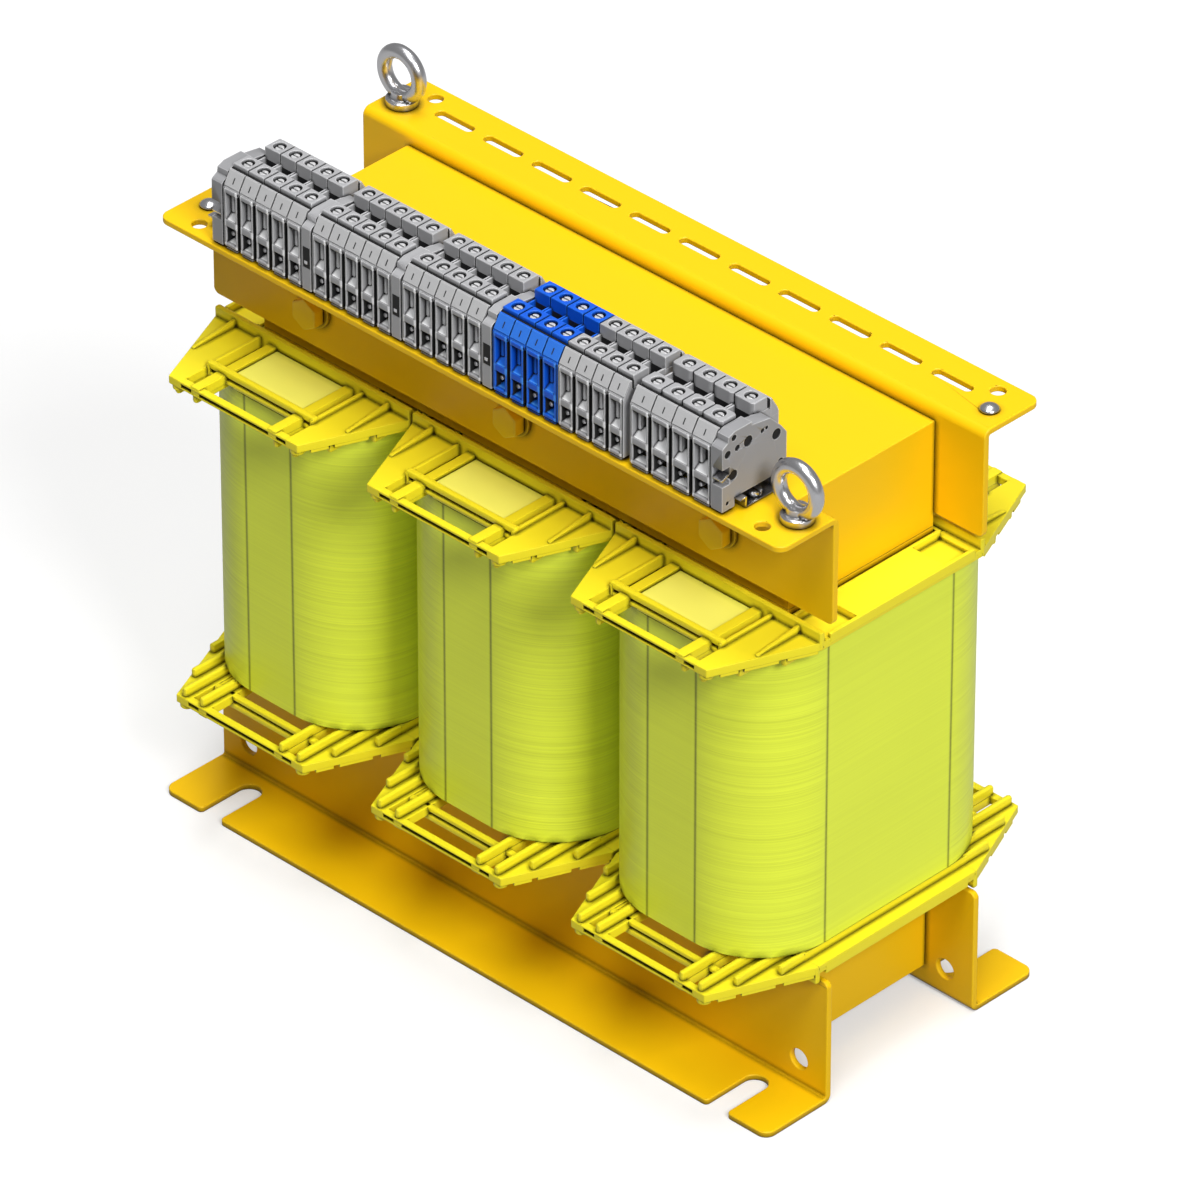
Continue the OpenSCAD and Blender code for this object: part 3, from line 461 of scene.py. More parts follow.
rib_shape = bmesh.new()
block(rib_shape, (-2, 2), (-RIB_LENGTH, 0), (RIB_FOOT, RIB_TOP), RIB_ROUND)
rib = linked("rib", mesh_of(rib_shape, "rib"))
slant_x, slant_y = FLANGE_HALF - WING_TIP_X, WING_TIP_Y - WING_ROOT_Y
slant_length = math.hypot(slant_x, slant_y)


def flange_wing(shape):
    """One wing on the terminal side of a flange whose outer face is z = 0 and whose coil side is below."""
    tip = -WING_TIP_Y
    for side in (-1, 1):
        # The plate beside the window, cut off along the slant
        slab(shape, [(side * x, y) for x, y in (
            (WINDOW_HALF, WING_START), (FLANGE_HALF, WING_START), (FLANGE_HALF, -WING_ROOT_Y),
            (WING_TIP_X, tip), (WINDOW_HALF, tip))], -PLATE, 0, PLATE_ROUND)
        # The arm across the window, the rib along the window's side and the tapered rib beyond it
        block(shape, (side * 28.5, side * 35.5), (tip + 0.4, WING_START), (-5.3, 0.9), 0.8)
        block(shape, (side * 41.6, side * 44.1), (-111, WING_START), (-5.0, 2.6), 0.8)
        slab(shape, [(WING_START, -1), (-103, -1), (-103, 0.7), (-102, 1.1), (-67, 5), (WING_START, 5)],
             side * 64 - 1.25, side * 64 + 1.25, 0.6, along="X")
        # The ribs on the coil side: three on the plate and one under the arm
        mesh = grown(wing_ribs, None, rib=rib, count=3, first=(side * 48.3 * MM, WING_START * MM, 0),
                     step=(side * 10.8 * MM, 0, 0), half_width=(FLANGE_HALF - 2) * MM,
                     root_y=WING_ROOT_Y * MM, slope=slant_y / slant_x, tip_y=WING_TIP_Y * MM,
                     inner_y=67.2 * MM, rib_length=RIB_LENGTH * MM)
        shape.from_mesh(mesh)
        block(shape, (side * 31.5, side * 35.5), (tip + 1.2, WING_START), (RIB_FOOT, RIB_TOP), RIB_ROUND)
    # The cross bar with a lower bar beneath it, and the free edge with a groove along its front
    block(shape, (-44.3, 44.3), (-110.5, -106), (-0.5, 3.9), 1.2)
    block(shape, (-44.3, 44.3), (-110.4, -106.1), (-5.3, -2.3), 0.9)
    block(shape, (-44.5, 44.5), (tip + 0.1, tip + 5), (-1.9, -0.1), 0.6)
    block(shape, (-44.5, 44.5), (tip + 2.6, tip + 4.9), (-5, -1), 0.3)
    block(shape, (-44.5, 44.5), (tip + 0.1, tip + 5), (-5.4, -4.0), 0.6)
    # The wall along the yoke and the seat of the coil under it
    block(shape, (-FLANGE_HALF + 0.1, FLANGE_HALF - 0.1), (-WALL_Y, -WALL_Y + 4), (-5.4, 6.5), 1.1)
    block(shape, (-71.9, 71.9), (-WALL_Y + 0.1, -64), (-10.9, -5), 0.6)


def flange_rims(shape, face, rise):
    """The round lugs at the free corners and the notched rims of one wing, standing on one of its faces."""
    tip = -WING_TIP_Y
    for side in (-1, 1):
        slab(shape, circle(side * (WING_TIP_X - LUG_INSET), tip + LUG_INSET, LUG_RADIUS),
             *sorted((face - rise, face + 3 * rise)), 0.7)
        for start, end in ((0.12, 0.28), (0.33, 0.63), (0.7, 0.97)):
            outline = [(side * (WING_TIP_X + share * slant_x - inward * slant_y / slant_length),
                        tip + share * slant_y + inward * slant_x / slant_length)
                       for share, inward in ((start, 0.15), (end, 0.15), (end, 5), (start, 5))]
            slab(shape, outline, *sorted((face - rise, face + 2 * rise)), 0.4)


def flange_middle(shape):
    """The broad middle on both sides of the tube, with its pads against the yoke and its pockets."""
    for side in (-1, 1):
        block(shape, (side * TUBE_CLEAR, side * 72), (-WALL_Y, WALL_Y), (-11, -5), PLATE_ROUND)
        block(shape, (side * TUBE_CLEAR, side * (FLANGE_HALF - 0.1)), (-66.2, 66.2), (-PLATE, -2.6), 0.3)
        block(shape, (side * 52, side * 79), (-36, 36), (-4, 2.4), 0.3)
        for x in ((TUBE_CLEAR, 54), (78.5, FLANGE_HALF)):
            block(shape, (side * x[0], side * x[1]), (-60, 60), (-4, 2.5), 0.5)
        for end in (-1, 1):
            block(shape, (side * 51.8, side * (FLANGE_HALF - 0.2)), (end * 59, end * 66), (-4, -0.1), 0.3)


def half_turned(shape):
    """Adds the whole shape again, turned half a turn about the upright axis."""
    again = bmesh.ops.duplicate(shape, geom=shape.verts[:] + shape.edges[:] + shape.faces[:])
    for vert in again["geom"]:
        if isinstance(vert, bmesh.types.BMVert):
            vert.co.x, vert.co.y = -vert.co.x, -vert.co.y


# The rims stand on the coil side of the top flanges and on the outer side of the bottom ones
for end, level, flip, rim_face, rim_rise in (("top", BOBBIN_HIGH, 1, -PLATE, -1),
                                             ("bottom", BOBBIN_LOW, -1, 0, 1)):
    flange = bmesh.new()
    flange_wing(flange)
    flange_rims(flange, rim_face, rim_rise)
    half_turned(flange)
    flange_middle(flange)
    for order, phase in enumerate(PHASES):
        moulding = flange.copy()
        bmesh.ops.scale(moulding, vec=(1, 1, flip), verts=moulding.verts)
        if flip < 0:
            bmesh.ops.reverse_faces(moulding, faces=moulding.faces)
        bmesh.ops.translate(moulding, vec=((order - 1) * COIL_PITCH * MM, 0, level), verts=moulding.verts)
        part = f"{end}_flange_{phase}"
        piece = finished(mesh_of(moulding, part), part + "_moulding")
        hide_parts(part)
        dressed(piece, bobbin_plastic)
    flange.free()
bpy.data.objects.remove(rib)
for phase in PHASES:
    dressed(finished_copy("tube_" + phase, "bobbin_tube_" + phase), bobbin_plastic)

# The windings: wire in two layers with pressboard between them, soaked in clear yellow varnish. They
# lie inside the outer wrap and show only where the ends are open.
varnished_wire = finish_of("varnished wire", color=(0.42, 0.33, 0.02), crease_color=(0.05, 0.04, 0.0),
                           edge_color=(0.7, 0.6, 0.1), crease_size=0.006, mottle=0.25, mottle_scale=80.0,
                           grain_scale=420.0, relief=0.00010, roughness=0.40)
pressboard = finish_of("pressboard", color=(0.62, 0.50, 0.20), crease_color=(0.10, 0.08, 0.02),
                       edge_color=(0.8, 0.7, 0.4), mottle=0.15, mottle_scale=40.0, grain_scale=900.0,
                       relief=0.00003, roughness=0.75)
for phase in PHASES:
    for part, material, slot in (("primary_", varnished_wire, "copper"), ("barrier_", pressboard, "paper"),
                                 ("secondary_", varnished_wire, "copper")):
        dressed(finished_copy(part + phase, part + phase + "_layer"), material)

# The outer wrap of each coil: a band of varnished tape wound round and round, so that its surface is
# covered with fine, slightly wavy level lines. Narrow seams stand where the flats meet the round corners.
WRAP_WIDTH, WRAP_DEPTH, WRAP_CORNER, WRAP_WALL = 144, 210, 53, 1
CORNER_STEPS, RIM_STEPS = 24, 3
FLAT_HALF_X, FLAT_HALF_Y = 0.018, 0.050
LINES_BEGIN, LINES_ON_FLAT = 120.0, 0.35
BROAD_SHARE, LINE_SHADE, PATCH_SHADE, SEAM_SHADE = 0.55, 0.30, 0.06, 0.75
SEAM_HALF, LINE_RELIEF = 1.4, 0.00013
wrap_low, wrap_high = (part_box("coil_wrap_left")[end][2] for end in (0, 1))
coil_wrap, given, result = new_tree("coil wrap", [
    ("Width", "Float", 0.1), ("Depth", "Float", 0.1), ("Corner", "Float", 0.01), ("Wall", "Float", 0.001),
    ("Height", "Float", 0.1), ("Rim", "Float", 0.0004), ("Place", "Vector", (0, 0, 0))])
plan = added(coil_wrap, "CurvePrimitiveQuadrilateral",
             width=maths(coil_wrap, "SUBTRACT", given["Width"], given["Wall"]),
             height=maths(coil_wrap, "SUBTRACT", given["Depth"], given["Wall"]))
half_wall = maths(coil_wrap, "MULTIPLY", given["Wall"], 0.5)
plan = added(coil_wrap, "FilletCurve", "POLY", curve=plan.outputs[0], count=CORNER_STEPS,
             radius=maths(coil_wrap, "SUBTRACT", given["Corner"], half_wall))
wall = added(coil_wrap, "CurvePrimitiveQuadrilateral", width=given["Wall"], height=given["Height"])
wall = added(coil_wrap, "FilletCurve", "POLY", curve=wall.outputs[0], count=RIM_STEPS,
             radius=given["Rim"])
band = added(coil_wrap, "CurveToMesh", curve=plan.outputs[0], profile_curve=wall.outputs[0])
band = added(coil_wrap, "Transform", geometry=band.outputs[0], translation=given["Place"])
set_out(coil_wrap, band.outputs[0], given["Material"], result)

wrap_tape = finish_of("wrap tape", coat=0.1, coat_roughness=0.3, specular=0.3,
                      crease_color=(0.08, 0.09, 0.0), edge_color=(0.9, 1.0, 0.3), crease_size=0.007,
                      crease_share=0.9, edge_share=0.25, edge_size=0.0005, edge_round=0.0002,
                      relief=0.00001, roughness=0.36)
tape = wrap_tape.node_tree
tape_shader = tape.nodes["Principled BSDF"]
tape_surface = tape.nodes["Group"]
tape_place = tape.nodes.new("ShaderNodeTexCoord").outputs["Object"]


def level_lines(per_metre, waver, detail):
    """Noise drawn out into level lines: so many to the metre, and bending this often along the coil."""
    drawn_out = tape.nodes.new("ShaderNodeMapping")
    drawn_out.inputs["Scale"].default_value = (waver, waver, per_metre)
    tape.links.new(tape_place, drawn_out.inputs["Vector"])
    return noise(tape, drawn_out.outputs["Vector"], 1.0, detail)


def seam_mask(distance, from_middle):
    """1 on the line that lies this far from the middle on both sides, 0 away from it."""
    off = maths(tape, "SUBTRACT", maths(tape, "ABSOLUTE", distance), from_middle * MM)
    off = maths(tape, "DIVIDE", maths(tape, "ABSOLUTE", off), SEAM_HALF * MM)
    return maths(tape, "SUBTRACT", 1.0, off, clamp=True)


axes = tape.nodes.new("ShaderNodeSeparateXYZ")
tape.links.new(tape_place, axes.inputs[0])
across = maths(tape, "ADD", axes.outputs["X"], 1.5 * COIL_PITCH * MM)
across = maths(tape, "SUBTRACT", maths(tape, "FLOORED_MODULO", across, COIL_PITCH * MM), COIL_PITCH / 2 * MM)
seams = maths(tape, "MAXIMUM", seam_mask(across, WRAP_WIDTH / 2 - WRAP_CORNER),
              seam_mask(axes.outputs["Y"], WRAP_DEPTH / 2 - WRAP_CORNER))
# The lines are faint on the flats and clear on the round corners, where the tape pulls tight
past_flats = maths(tape, "MINIMUM", maths(tape, "SUBTRACT", maths(tape, "ABSOLUTE", across), FLAT_HALF_X),
                   maths(tape, "SUBTRACT", maths(tape, "ABSOLUTE", axes.outputs["Y"]), FLAT_HALF_Y))
on_corner = maths(tape, "MULTIPLY", past_flats, LINES_BEGIN, clamp=True)
strength = maths(tape, "ADD", maths(tape, "MULTIPLY", on_corner, 1 - LINES_ON_FLAT), LINES_ON_FLAT)
fine_lines = level_lines(per_metre=1300.0, waver=5.0, detail=1.0)
broad_lines = level_lines(per_metre=300.0, waver=4.0, detail=3.0)
lines = maths(tape, "ADD", fine_lines, maths(tape, "MULTIPLY", broad_lines, BROAD_SHARE))
lines = maths(tape, "MULTIPLY", lines, strength)
patches = noise(tape, tape_place, scale=9.0, detail=2.0)
tape_shade = maths(tape, "ADD", maths(tape, "MULTIPLY", lines, LINE_SHADE), 1.0)
tape_shade = maths(tape, "ADD", tape_shade, maths(tape, "MULTIPLY", patches, PATCH_SHADE))
tape_shade = maths(tape, "SUBTRACT", tape_shade, maths(tape, "MULTIPLY", seams, SEAM_SHADE))
plain_tape = tape.nodes.new("ShaderNodeRGB")
plain_tape.outputs[0].default_value = (0.84, 0.95, 0.062, 1)
tape.links.new(tinted(tape, plain_tape.outputs[0], tape_shade), tape_surface.inputs["Color"])
tape_bump = tape.nodes.new("ShaderNodeBump")
tape_bump.inputs["Distance"].default_value = LINE_RELIEF
tape.links.new(maths(tape, "SUBTRACT", lines, seams), tape_bump.inputs["Height"])
tape.links.new(tape_surface.outputs["Normal"], tape_bump.inputs["Normal"])
tape.links.new(tape_bump.outputs["Normal"], tape_shader.inputs["Normal"])

for order, phase in enumerate(PHASES):
    mesh = grown(coil_wrap, wrap_tape, width=WRAP_WIDTH * MM, depth=WRAP_DEPTH * MM, corner=WRAP_CORNER * MM,
                 wall=WRAP_WALL * MM, height=wrap_high - wrap_low,
                 place=((order - 1) * COIL_PITCH * MM, 0, (wrap_low + wrap_high) / 2))
    piece = finished(mesh, f"coil_wrap_{phase}_tape")
    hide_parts("coil_wrap_" + phase)
    dressed(piece, wrap_tape)

# The coil ends: pale blocks of cast resin that stand on the coils and close them inside the windows of
# the top flanges, just below the outer faces of the wings.
PAD_EDGE = 0.0008
pad_resin = finish_of("pad resin", specular=0.3, color=(1.0, 1.0, 0.17), crease_color=(0.45, 0.45, 0.02),
                      edge_color=(1.0, 1.0, 0.3), crease_size=0.006, crease_share=0.5, edge_share=0.2,
                      mottle=0.08, mottle_scale=14.0, grain_scale=500.0, roughness=0.42)
dressed(finished_copy("coil_end_pads", "coil_end_packing", PAD_EDGE), pad_resin)

# The clamp angles: folded steel sheet, punched and powder coated yellow. The bottom pair are the feet
# and the top pair carry the terminals and the lifting eyes.
ANGLE_EDGE = 0.0006
angle_paint = finish_of("angle powder coat", specular=0.25, color=(0.95, 0.575, 0.003),
                        crease_color=(0.04, 0.02, 0.0), edge_color=(1.0, 0.80, 0.06), crease_size=0.0045,
                        edge_share=0.55, mottle=0.04, mottle_scale=7.0, grain_scale=1100.0, roughness=0.40)
for part in ("base_front_angle", "base_rear_angle", "top_front_angle", "top_rear_angle"):
    dressed(finished_copy(part, part + "_folded", ANGLE_EDGE), angle_paint)

# The clamp bolts: M12 hexagon bolts through the angles and yokes, with washers at both ends and nuts
# at the rear. They were painted in the same yellow; here it is a little lighter, which is painted light, and
# their chamfers carry painted highlights.
BOLT_FACE, BOLT_AF, BOLT_HEAD, BOLT_NUT, BOLT_TAIL, WASHER = 66.5, 19, 8, 10, 4, 2.5
BOLT_RADIUS, WASHER_RADIUS = 6, 12
HEAD_CHAMFER, TIP_CHAMFER, WASHER_CHAMFER = 1.5, 0.8, 0.4
along_a_line, given, result = new_tree("set along a line", [
    ("Piece", "Object", None), ("Count", "Int", 3), ("First", "Vector", (0, 0, 0)),
    ("Step", "Vector", (0, 0, 0))])
line = added(along_a_line, "MeshLine", "OFFSET", count=given["Count"], start_location=given["First"],
             offset=given["Step"])
one = added(along_a_line, "ObjectInfo", object=given["Piece"], as_instance=True)
many = added(along_a_line, "InstanceOnPoints", points=line.outputs[0], instance=one.outputs["Geometry"])
set_out(along_a_line, many.outputs[0], given["Material"], result)


def set_along(shape, name, material, nodes, count, first, step):
    """Repeats a bmesh along a line, in millimetres, as one dressed piece that stands for CAD nodes."""
    single = linked("single", mesh_of(shape, "single"))
    mesh = grown(along_a_line, material, piece=single, count=count, first=[value * MM for value in first],
                 step=[value * MM for value in step])
    bpy.data.objects.remove(single)
    piece = finished(mesh, name)
    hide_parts(*nodes)
    return dressed(piece, material)


bolt_paint_lit = finish_of("bolt paint with painted light", specular=0.4, color=(1.0, 0.66, 0.008), crease_color=(0.03, 0.015, 0.0),
                       edge_color=(1.0, 0.86, 0.12), crease_size=0.006, edge_share=0.8, edge_size=0.0011,
                       edge_round=0.0002, roughness=0.38)
hexagon = circle(0, 0, BOLT_AF / 2 / math.cos(math.radians(30)), 6, 90)
ring_outline = circle(0, 0, WASHER_RADIUS, 40)
for row in ("bottom", "top"):
    height = sum(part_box(row + "_washers")[end][2] for end in (0, 1)) / 2 / MM
    bolt, nut, washer = bmesh.new(), bmesh.new(), bmesh.new()
    slab(bolt, hexagon, -BOLT_FACE - BOLT_HEAD, -BOLT_FACE, HEAD_CHAMFER, along="Y")
    slab(bolt, circle(0, 0, BOLT_RADIUS), -BOLT_FACE - 1, BOLT_FACE + BOLT_NUT + BOLT_TAIL, TIP_CHAMFER,
         along="Y")
    slab(nut, hexagon, BOLT_FACE, BOLT_FACE + BOLT_NUT, HEAD_CHAMFER, along="Y")
    for face in (-BOLT_FACE, BOLT_FACE - WASHER):
        slab(washer, ring_outline, face, face + WASHER, WASHER_CHAMFER, along="Y")
    for part, shape in (("bolts", bolt), ("nuts", nut), ("washers", washer)):
        set_along(shape, f"{row}_clamp_{part}", bolt_paint_lit, [f"{row}_{part}"], 3,
                  (-COIL_PITCH, 0, height), (COIL_PITCH, 0, 0))
dressed(finished_copy("bolt_sleeves", "bolt_sleeve_tubes"), pressboard)

# The lifting eyes: forged M8 eyebolts on one diagonal, bright zinc, with nuts under the flange and
# domed plugs in the two free holes.
EYE_X, EYE_Y, FLANGE_TOP = 236, 79, 406.5
RING_LEVEL, RING_RADIUS, RING_THICK = 21, 14.4, 4.6
bright_zinc = finish_of("bright zinc", metallic=1.0, color=(0.62, 0.62, 0.64),
                        crease_color=(0.05, 0.05, 0.05), edge_color=(0.95, 0.95, 0.97), crease_size=0.004,
                        edge_share=0.4, mottle=0.12, mottle_scale=30.0, grain_scale=700.0, roughness=0.27)


def turned(shape, profile, x, y, count=40):
    """Adds a turned part on an upright axis. Its profile of (radius, height) starts and ends at radius 0."""
    rings = [[shape.verts.new(((x + u) * MM, (y + v) * MM, z * MM)) for u, v in circle(0, 0, r, count)]
             for r, z in profile[1:-1]]
    low, high = (shape.verts.new((x * MM, y * MM, profile[end][1] * MM)) for end in (0, -1))
    for k in range(count):
        shape.faces.new((low, rings[0][k], rings[0][k - 1]))
        shape.faces.new((high, rings[-1][k - 1], rings[-1][k]))
        for inner, outer in zip(rings, rings[1:]):
            shape.faces.new((inner[k - 1], inner[k], outer[k], outer[k - 1]))


def eye_ring(shape, x, y, z, radius, thick, around=64, across=20):
    """Adds an upright ring that faces -Y."""
    rows = [[shape.verts.new(((x + (radius + thick * math.cos(b)) * math.cos(a)) * MM,
                              (y + thick * math.sin(b)) * MM,
                              (z + (radius + thick * math.cos(b)) * math.sin(a)) * MM))
             for b in (2 * math.pi * j / across for j in range(across))]
            for a in (2 * math.pi * i / around for i in range(around))]
    for i in range(around):
        for j in range(across):
            shape.faces.new((rows[i][j], rows[i - 1][j], rows[i - 1][j - 1], rows[i][j - 1]))


for part, side in (("eyebolt_front", 1), ("eyebolt_rear", -1)):
    forging = bmesh.new()
    turned(forging, [(0, -12.5), (3.6, -12.5), (4, -12), (4, 0), (9.4, 0), (10, 0.6), (10, 4.4), (9.3, 5.2),
                     (7.2, 5.6), (6.6, 6.4), (6.2, 9.5), (0, 9.5)], side * EYE_X, -side * EYE_Y)
    eye_ring(forging, side * EYE_X, -side * EYE_Y, RING_LEVEL, RING_RADIUS, RING_THICK)
    bmesh.ops.recalc_face_normals(forging, faces=forging.faces)
    bmesh.ops.translate(forging, vec=(0, 0, FLANGE_TOP * MM), verts=forging.verts)
    piece = finished(mesh_of(forging, part), part + "_forging")
    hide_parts(part)
    dressed(piece, bright_zinc)
dressed(finished_copy("eyebolt_nuts", "eyebolt_back_nuts"), bright_zinc)
dressed(finished_copy("flange_plugs", "flange_plug_domes"), bright_zinc)

# The terminal rail: a 35 mm top-hat strip of zinc-plated steel, on which the terminals snap. Screws in
# its channel hold it to the front top angle.
dressed(finished_copy("terminal_rail", "terminal_rail_strip"), bright_zinc)
dressed(finished_copy("rail_screws", "rail_screw_heads"), bright_zinc)

# The terminals: moulded housings that snap on the rail side by side, grey for the phases and blue for
# the neutrals. Each has a wire funnel and a test window on both faces, inclined marker plates, and two
# screws in wells under raised heads; black sheets of painted shade stand in the gaps to their neighbours.
ROW_Y = -77.25
CLAMP_Y, WELL_RADIUS = 12.75, 4
TERMINAL_GAP, FACE_INSET, SIDE_PLATE = 0.4, 1.2, 0.85
HEAD_EDGE, WELL_EDGE = 0.45, 0.3
SCREW_RADIUS, SLOT_HALF = 2.3, 0.5
housing_look = {"crease_color": (0.006, 0.006, 0.007), "crease_share": 1.0, "crease_size": 0.002,
                "edge_share": 0.6, "edge_size": 0.0007, "mottle": 0.06, "mottle_scale": 60.0,
                "grain_scale": 1500.0, "relief": 0.00001, "roughness": 0.42, "specular": 0.35}
grey_housing = finish_of("grey housing", color=(0.38, 0.38, 0.39), edge_color=(0.92, 0.92, 0.93),
                         **housing_look)
# The marker plates take darker copies of the housing colours: painted shade, against the light that their
# slope catches from above.
grey_marker_shaded = finish_of("grey marker plate with painted shade", color=(0.26, 0.26, 0.27), edge_color=(0.6, 0.6, 0.6),
                        **housing_look)
grey_bracket = finish_of("grey bracket", color=(0.30, 0.30, 0.31), edge_color=(0.75, 0.75, 0.76),
                         **housing_look)
# The funnel floors and the strip in the test window take lighter copies of the housing colours, which is
# painted light.
floor_look = dict(housing_look, crease_size=0.0015)
lit_funnel_floor = finish_of("funnel floor with painted light", color=(0.85, 0.85, 0.86), edge_color=(1.0, 1.0, 1.0),
                       **floor_look)
blue_lit_funnel_floor = finish_of("blue funnel floor", color=(0.02, 0.20, 0.90), edge_color=(0.1, 0.4, 1.0),
                       **floor_look)
blue_look = dict(housing_look, crease_color=(0.0, 0.004, 0.03))
blue_housing = finish_of("blue housing", color=(0.004, 0.10, 0.66), edge_color=(0.06, 0.30, 0.95),
                         **blue_look)
blue_marker_shaded = finish_of("blue marker plate", color=(0.003, 0.075, 0.52), edge_color=(0.05, 0.25, 0.85),
                        **blue_look)
screw_zinc = finish_of("screw zinc", metallic=1.0, color=(0.92, 0.92, 0.93), edge_color=(1.0, 1.0, 1.0),
                       crease_share=0.3, crease_size=0.001, roughness=0.5)
# Black for the sheets of painted shade in gaps, windows, wells and holes, and for the printed ticks.
shade_and_print_black = finish_of("painted shade and print black", specular=0.2, color=(0.012, 0.012, 0.013), edge_color=(0.03, 0.03, 0.03),
                       mottle=0.2, mottle_scale=90.0, grain_scale=1200.0, roughness=0.6)


def well_block(shape, half_x, y, half_y, low, high):
    """Adds a raised head with a round well through it, and a light chamfer round both."""
    count = 32
    rows = []
    # Rows from the foot of the outside, over the top, to the foot of the well
    for reach, rim, level in ((0, 0, low), (0, 0, high - HEAD_EDGE), (HEAD_EDGE, 0, high),
                              (None, WELL_EDGE, high), (None, 0, high - WELL_EDGE), (None, 0, low)):
        row = []
        for u, v in circle(0, 0, 1, count):
            if reach is None:
                u, v = u * (WELL_RADIUS + rim), v * (WELL_RADIUS + rim)
            else:
                far = min((half_x - reach) / max(abs(u), 1e-9), (half_y - reach) / max(abs(v), 1e-9))
                u, v = u * far, v * far
            row.append(shape.verts.new((u * MM, (y + v) * MM, level * MM)))
        rows.append(row)
    for inner, outer in zip(rows, rows[1:] + rows[:1]):
        for k in range(count):
            shape.faces.new((inner[k - 1], inner[k], outer[k], outer[k - 1]))


def terminal_parts(width):
    """The shapes of one terminal of a given width: its plastic, its black sheets of painted shade, its
    printed ticks and its metal.
    """
    half, face = width / 2, width / 2 - FACE_INSET
    housing, plates, floors, clefts, ticks, metal, screws = (bmesh.new() for _ in range(7))
    # Side walls, brow, the bar between test window and funnel, sill and foot
    for side in (-1, 1):
        block(housing, (side * (face - 1.3), side * face), (-27.75, -20), (2.4, 41), 0.5)
        block(housing, (side * (half - 1.2), side * half), (-6.9, 0), (36, 47), 0.3)
    block(housing, (-face, face), (-28.0, -24), (38.4, 41.5), 0.8)
    block(housing, (-face, face), (-27.9, -20), (15.7, 20.4), 0.8)
    block(housing, (-face, face), (-27.9, -21), (2.2, 4.6), 0.6)
    block(housing, (-face + 0.8, face - 0.8), (-27.2, -19), (0.1, 1.3), 0.3)
    # Sloping floors of the window and the funnel, black sheets of painted shade at their sides and above, and
    # on the well's floor
    for low, deep, rise in ((20.2, -20.1, 5), (4.3, -20.6, 1.4)):
        slab(floors, [(-27.4, low), (deep, low + rise), (deep, low)], -face + 1.1, face - 1.1, 0, along="X")
    for side in (-1, 1):
        block(clefts, (side * (face - 1.5), side * (face - 1)), (-26.6, -20), (4.6, 16), 0)
        block(clefts, (side * (face - 0.1), side * (face + 0.2)), (-27.2, -20), (2.6, 38.4), 0)
    block(clefts, (-face + 1, face - 1), (-26.2, -20), (36.8, 39), 0)
    block(clefts, (-half, half), (-19.7, -18.8), (45, 50.8), 0)
    slab(clefts, circle(0, -CLAMP_Y, WELL_RADIUS - 0.02), 45.7, 51.5, 0)
    # The inclined front of the top, the raised head behind it, and the marker plate with its tick
    slab(housing, [(-27.0, 41.0), (-26.4, 42.6), (-21.3, 51.2), (-20.4, 51.2), (-20.4, 38.6), (-26.4, 38.6)],
         -half, half, 0.3, along="X")
    well_block(housing, half - 0.2, -CLAMP_Y, 6.1, 45, 54)
    slab(plates, [(-26.7, 42.7), (-21.6, 51.3), (-21.2, 51.0), (-26.3, 42.4)],
         -half + 0.25, half - 0.25, 0.15, along="X")
    slab(ticks, [(-25.55, 44.75), (-23.6, 48.05), (-23.3, 47.9), (-25.25, 44.6)], -0.35, 0.35, 0, along="X")
    # Painted shade inside, a strip in the floors' painted light in the test window, the clamp's screw in the
    # funnel, the slotted screw
    block(clefts, (-half, half), (-20.2, 0), (7.6, 38), 0)
    block(clefts, (-half + 0.3, half - 0.3), (-19, -6.6), (37, 45.6), 0)
    block(floors, (-face + 1.35, -face + 3.6), (-23.4, -20), (24, 37.5), 0.3)
    slab(metal, circle(-face + 2.7, 9.4, 1.5, 16), -24, -20, 0.5, along="Y")
    for start, off_middle in ((0, SLOT_HALF), (180, -SLOT_HALF)):
        slab(screws, [(u, v - CLAMP_Y + off_middle) for u, v in circle(0, 0, SCREW_RADIUS, 14, start, 180.0)],
             50.2, 52.8, 0.35)
    shapes = housing, plates, floors, clefts, ticks, metal, screws
    for shape in shapes:
        bmesh.ops.recalc_face_normals(shape, faces=shape.faces)
        half_turned(shape)
    return shapes


def group_side(shape, width):
    """Adds the closing side plate at the right end of a group, seen past the lower spacer."""
    slab(shape, [(-27.2, 2.4), (-27.2, 41), (-26.3, 42.5), (-21.3, 51), (-20.2, 51), (-20.2, 46), (-6.6, 46),
                 (6.6, 46), (20.2, 46), (20.2, 51), (21.3, 51), (26.3, 42.5), (27.2, 41), (27.2, 2.4)],
         width / 2 - SIDE_PLATE, width / 2 - 0.02, 0.2, along="X")


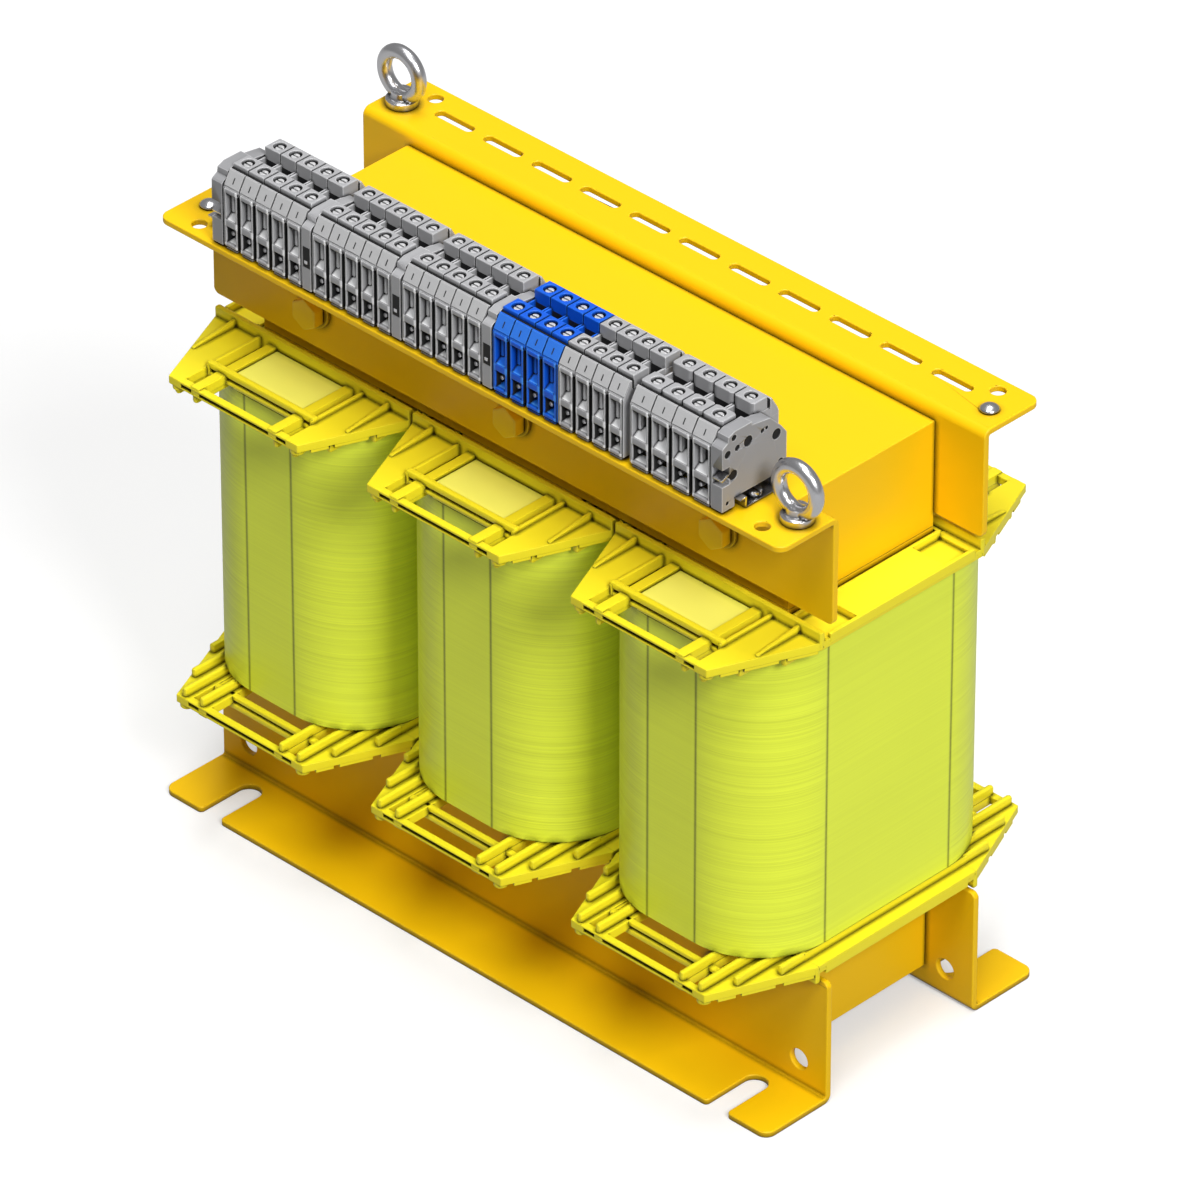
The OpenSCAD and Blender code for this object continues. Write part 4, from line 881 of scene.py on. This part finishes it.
for part, count in (("terminals_1", 5), ("terminals_2", 5), ("terminals_3", 5), ("terminals_blue", 4),
                    ("terminals_4", 4), ("terminals_large", 4)):
    low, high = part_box(part)
    pitch = ((high[0] - low[0]) / MM + TERMINAL_GAP) / count
    width = pitch - TERMINAL_GAP
    first = (low[0] / MM + width / 2, ROW_Y, FLANGE_TOP)
    housing_finish, marker_painted_shade, floor_painted_light, plastic_slot = (
        (blue_housing, blue_marker_shaded, blue_lit_funnel_floor, "blue_plastic") if part == "terminals_blue" else
        (grey_housing, grey_marker_shaded, lit_funnel_floor, "grey_plastic"))
    for shape, kind, material, slot, nodes in zip(
            terminal_parts(width),
            ("housings", "marker_plates", "funnel_floors", "clefts", "ticks", "clamps", "screw_heads"),
            (housing_finish, marker_painted_shade, floor_painted_light, shade_and_print_black, shade_and_print_black, screw_zinc, screw_zinc),
            (plastic_slot,) * 5 + ("zinc_steel",) * 2,
            ([part],) * 5 + (["terminal_clamps"], ["terminal_screws"])):
        set_along(shape, f"{part}_{kind}", material, nodes, count, first, (pitch, 0, 0))
    for end, place in (("left", first[0] + SIDE_PLATE - width), ("right", first[0] + (count - 1) * pitch)):
        side_plate = bmesh.new()
        group_side(side_plate, width)
        set_along(side_plate, f"{part}_{end}_side", housing_finish, [part], 1,
                  (place, ROW_Y, FLANGE_TOP), (0, 0, 0))
dressed(finished_copy("terminal_bars", "terminal_current_bars"), varnished_wire)

# The spacers and end brackets: grey mouldings between the groups and at both ends of the row, which
# keep the terminals pressed together. A steel tongue in each bracket bites on the rail.
SPACER_WIDTH = 7
HOLE_RECESS, HOLE_DEPTH = 0.6, 3
MOULDING_SHARP = 20
# Holes in the outer faces of the brackets: the distance from the row's middle, the height and the width
BRACKET_HOLES = ((-23.5, 38.5, 5), (-15.7, 39.5, 4), (-7, 40, 7), (4.5, 41.5, 3), (8, 42, 2.4),
                 (16, 34, 7), (19.5, 14, 4.6), (-18.8, 22.8, 6.5), (-18.5, 47.5, 4), (-23.6, 6, 2.6))
dressed(finished_copy("group_spacers", "group_spacer_mouldings", sharp_angle=MOULDING_SHARP),
        grey_housing)
# The notches in the spacers' fronts are flat black plates of painted shade.
notch_shade, latch = bmesh.new(), bmesh.new()
block(notch_shade, (-2.9, 2.9), (-27.9, -27.2), (16.5, 30.5), 0.3)
block(latch, (-1.6, 1.0), (-28.2, -27.4), (19, 21.5), 0.4)
spacer_low, spacer_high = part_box("group_spacers")
first = (spacer_low[0] / MM + SPACER_WIDTH / 2, ROW_Y, FLANGE_TOP)
step = (((spacer_high[0] - spacer_low[0]) / MM - SPACER_WIDTH) / 2, 0, 0)
set_along(notch_shade, "group_spacer_notches", shade_and_print_black, ["group_spacers"], 3, first, step)
set_along(latch, "group_spacer_latches", bright_zinc, ["group_spacers"], 3, first, step)
for part, side in (("left_bracket", 0), ("right_bracket", 1)):
    dressed(finished_copy(part, part + "_moulding", sharp_angle=MOULDING_SHARP), grey_bracket)
    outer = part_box(part)[side][0] / MM
    inward = 1 if side == 0 else -1
    # Black discs of painted shade fill the holes in the brackets' outer faces.
    ends = bmesh.new()
    for from_middle, height, across_hole in BRACKET_HOLES:
        slab(ends, circle(ROW_Y + from_middle, FLANGE_TOP + height, across_hole / 2 + 0.02, 20),
             outer + inward * HOLE_RECESS, outer + inward * HOLE_DEPTH, 0, along="X")
    piece = finished(mesh_of(ends, part), part + "_dark_holes")
    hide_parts(part)
    dressed(piece, shade_and_print_black)
dressed(finished_copy("bracket_clips", "bracket_clip_tongues"), bright_zinc)
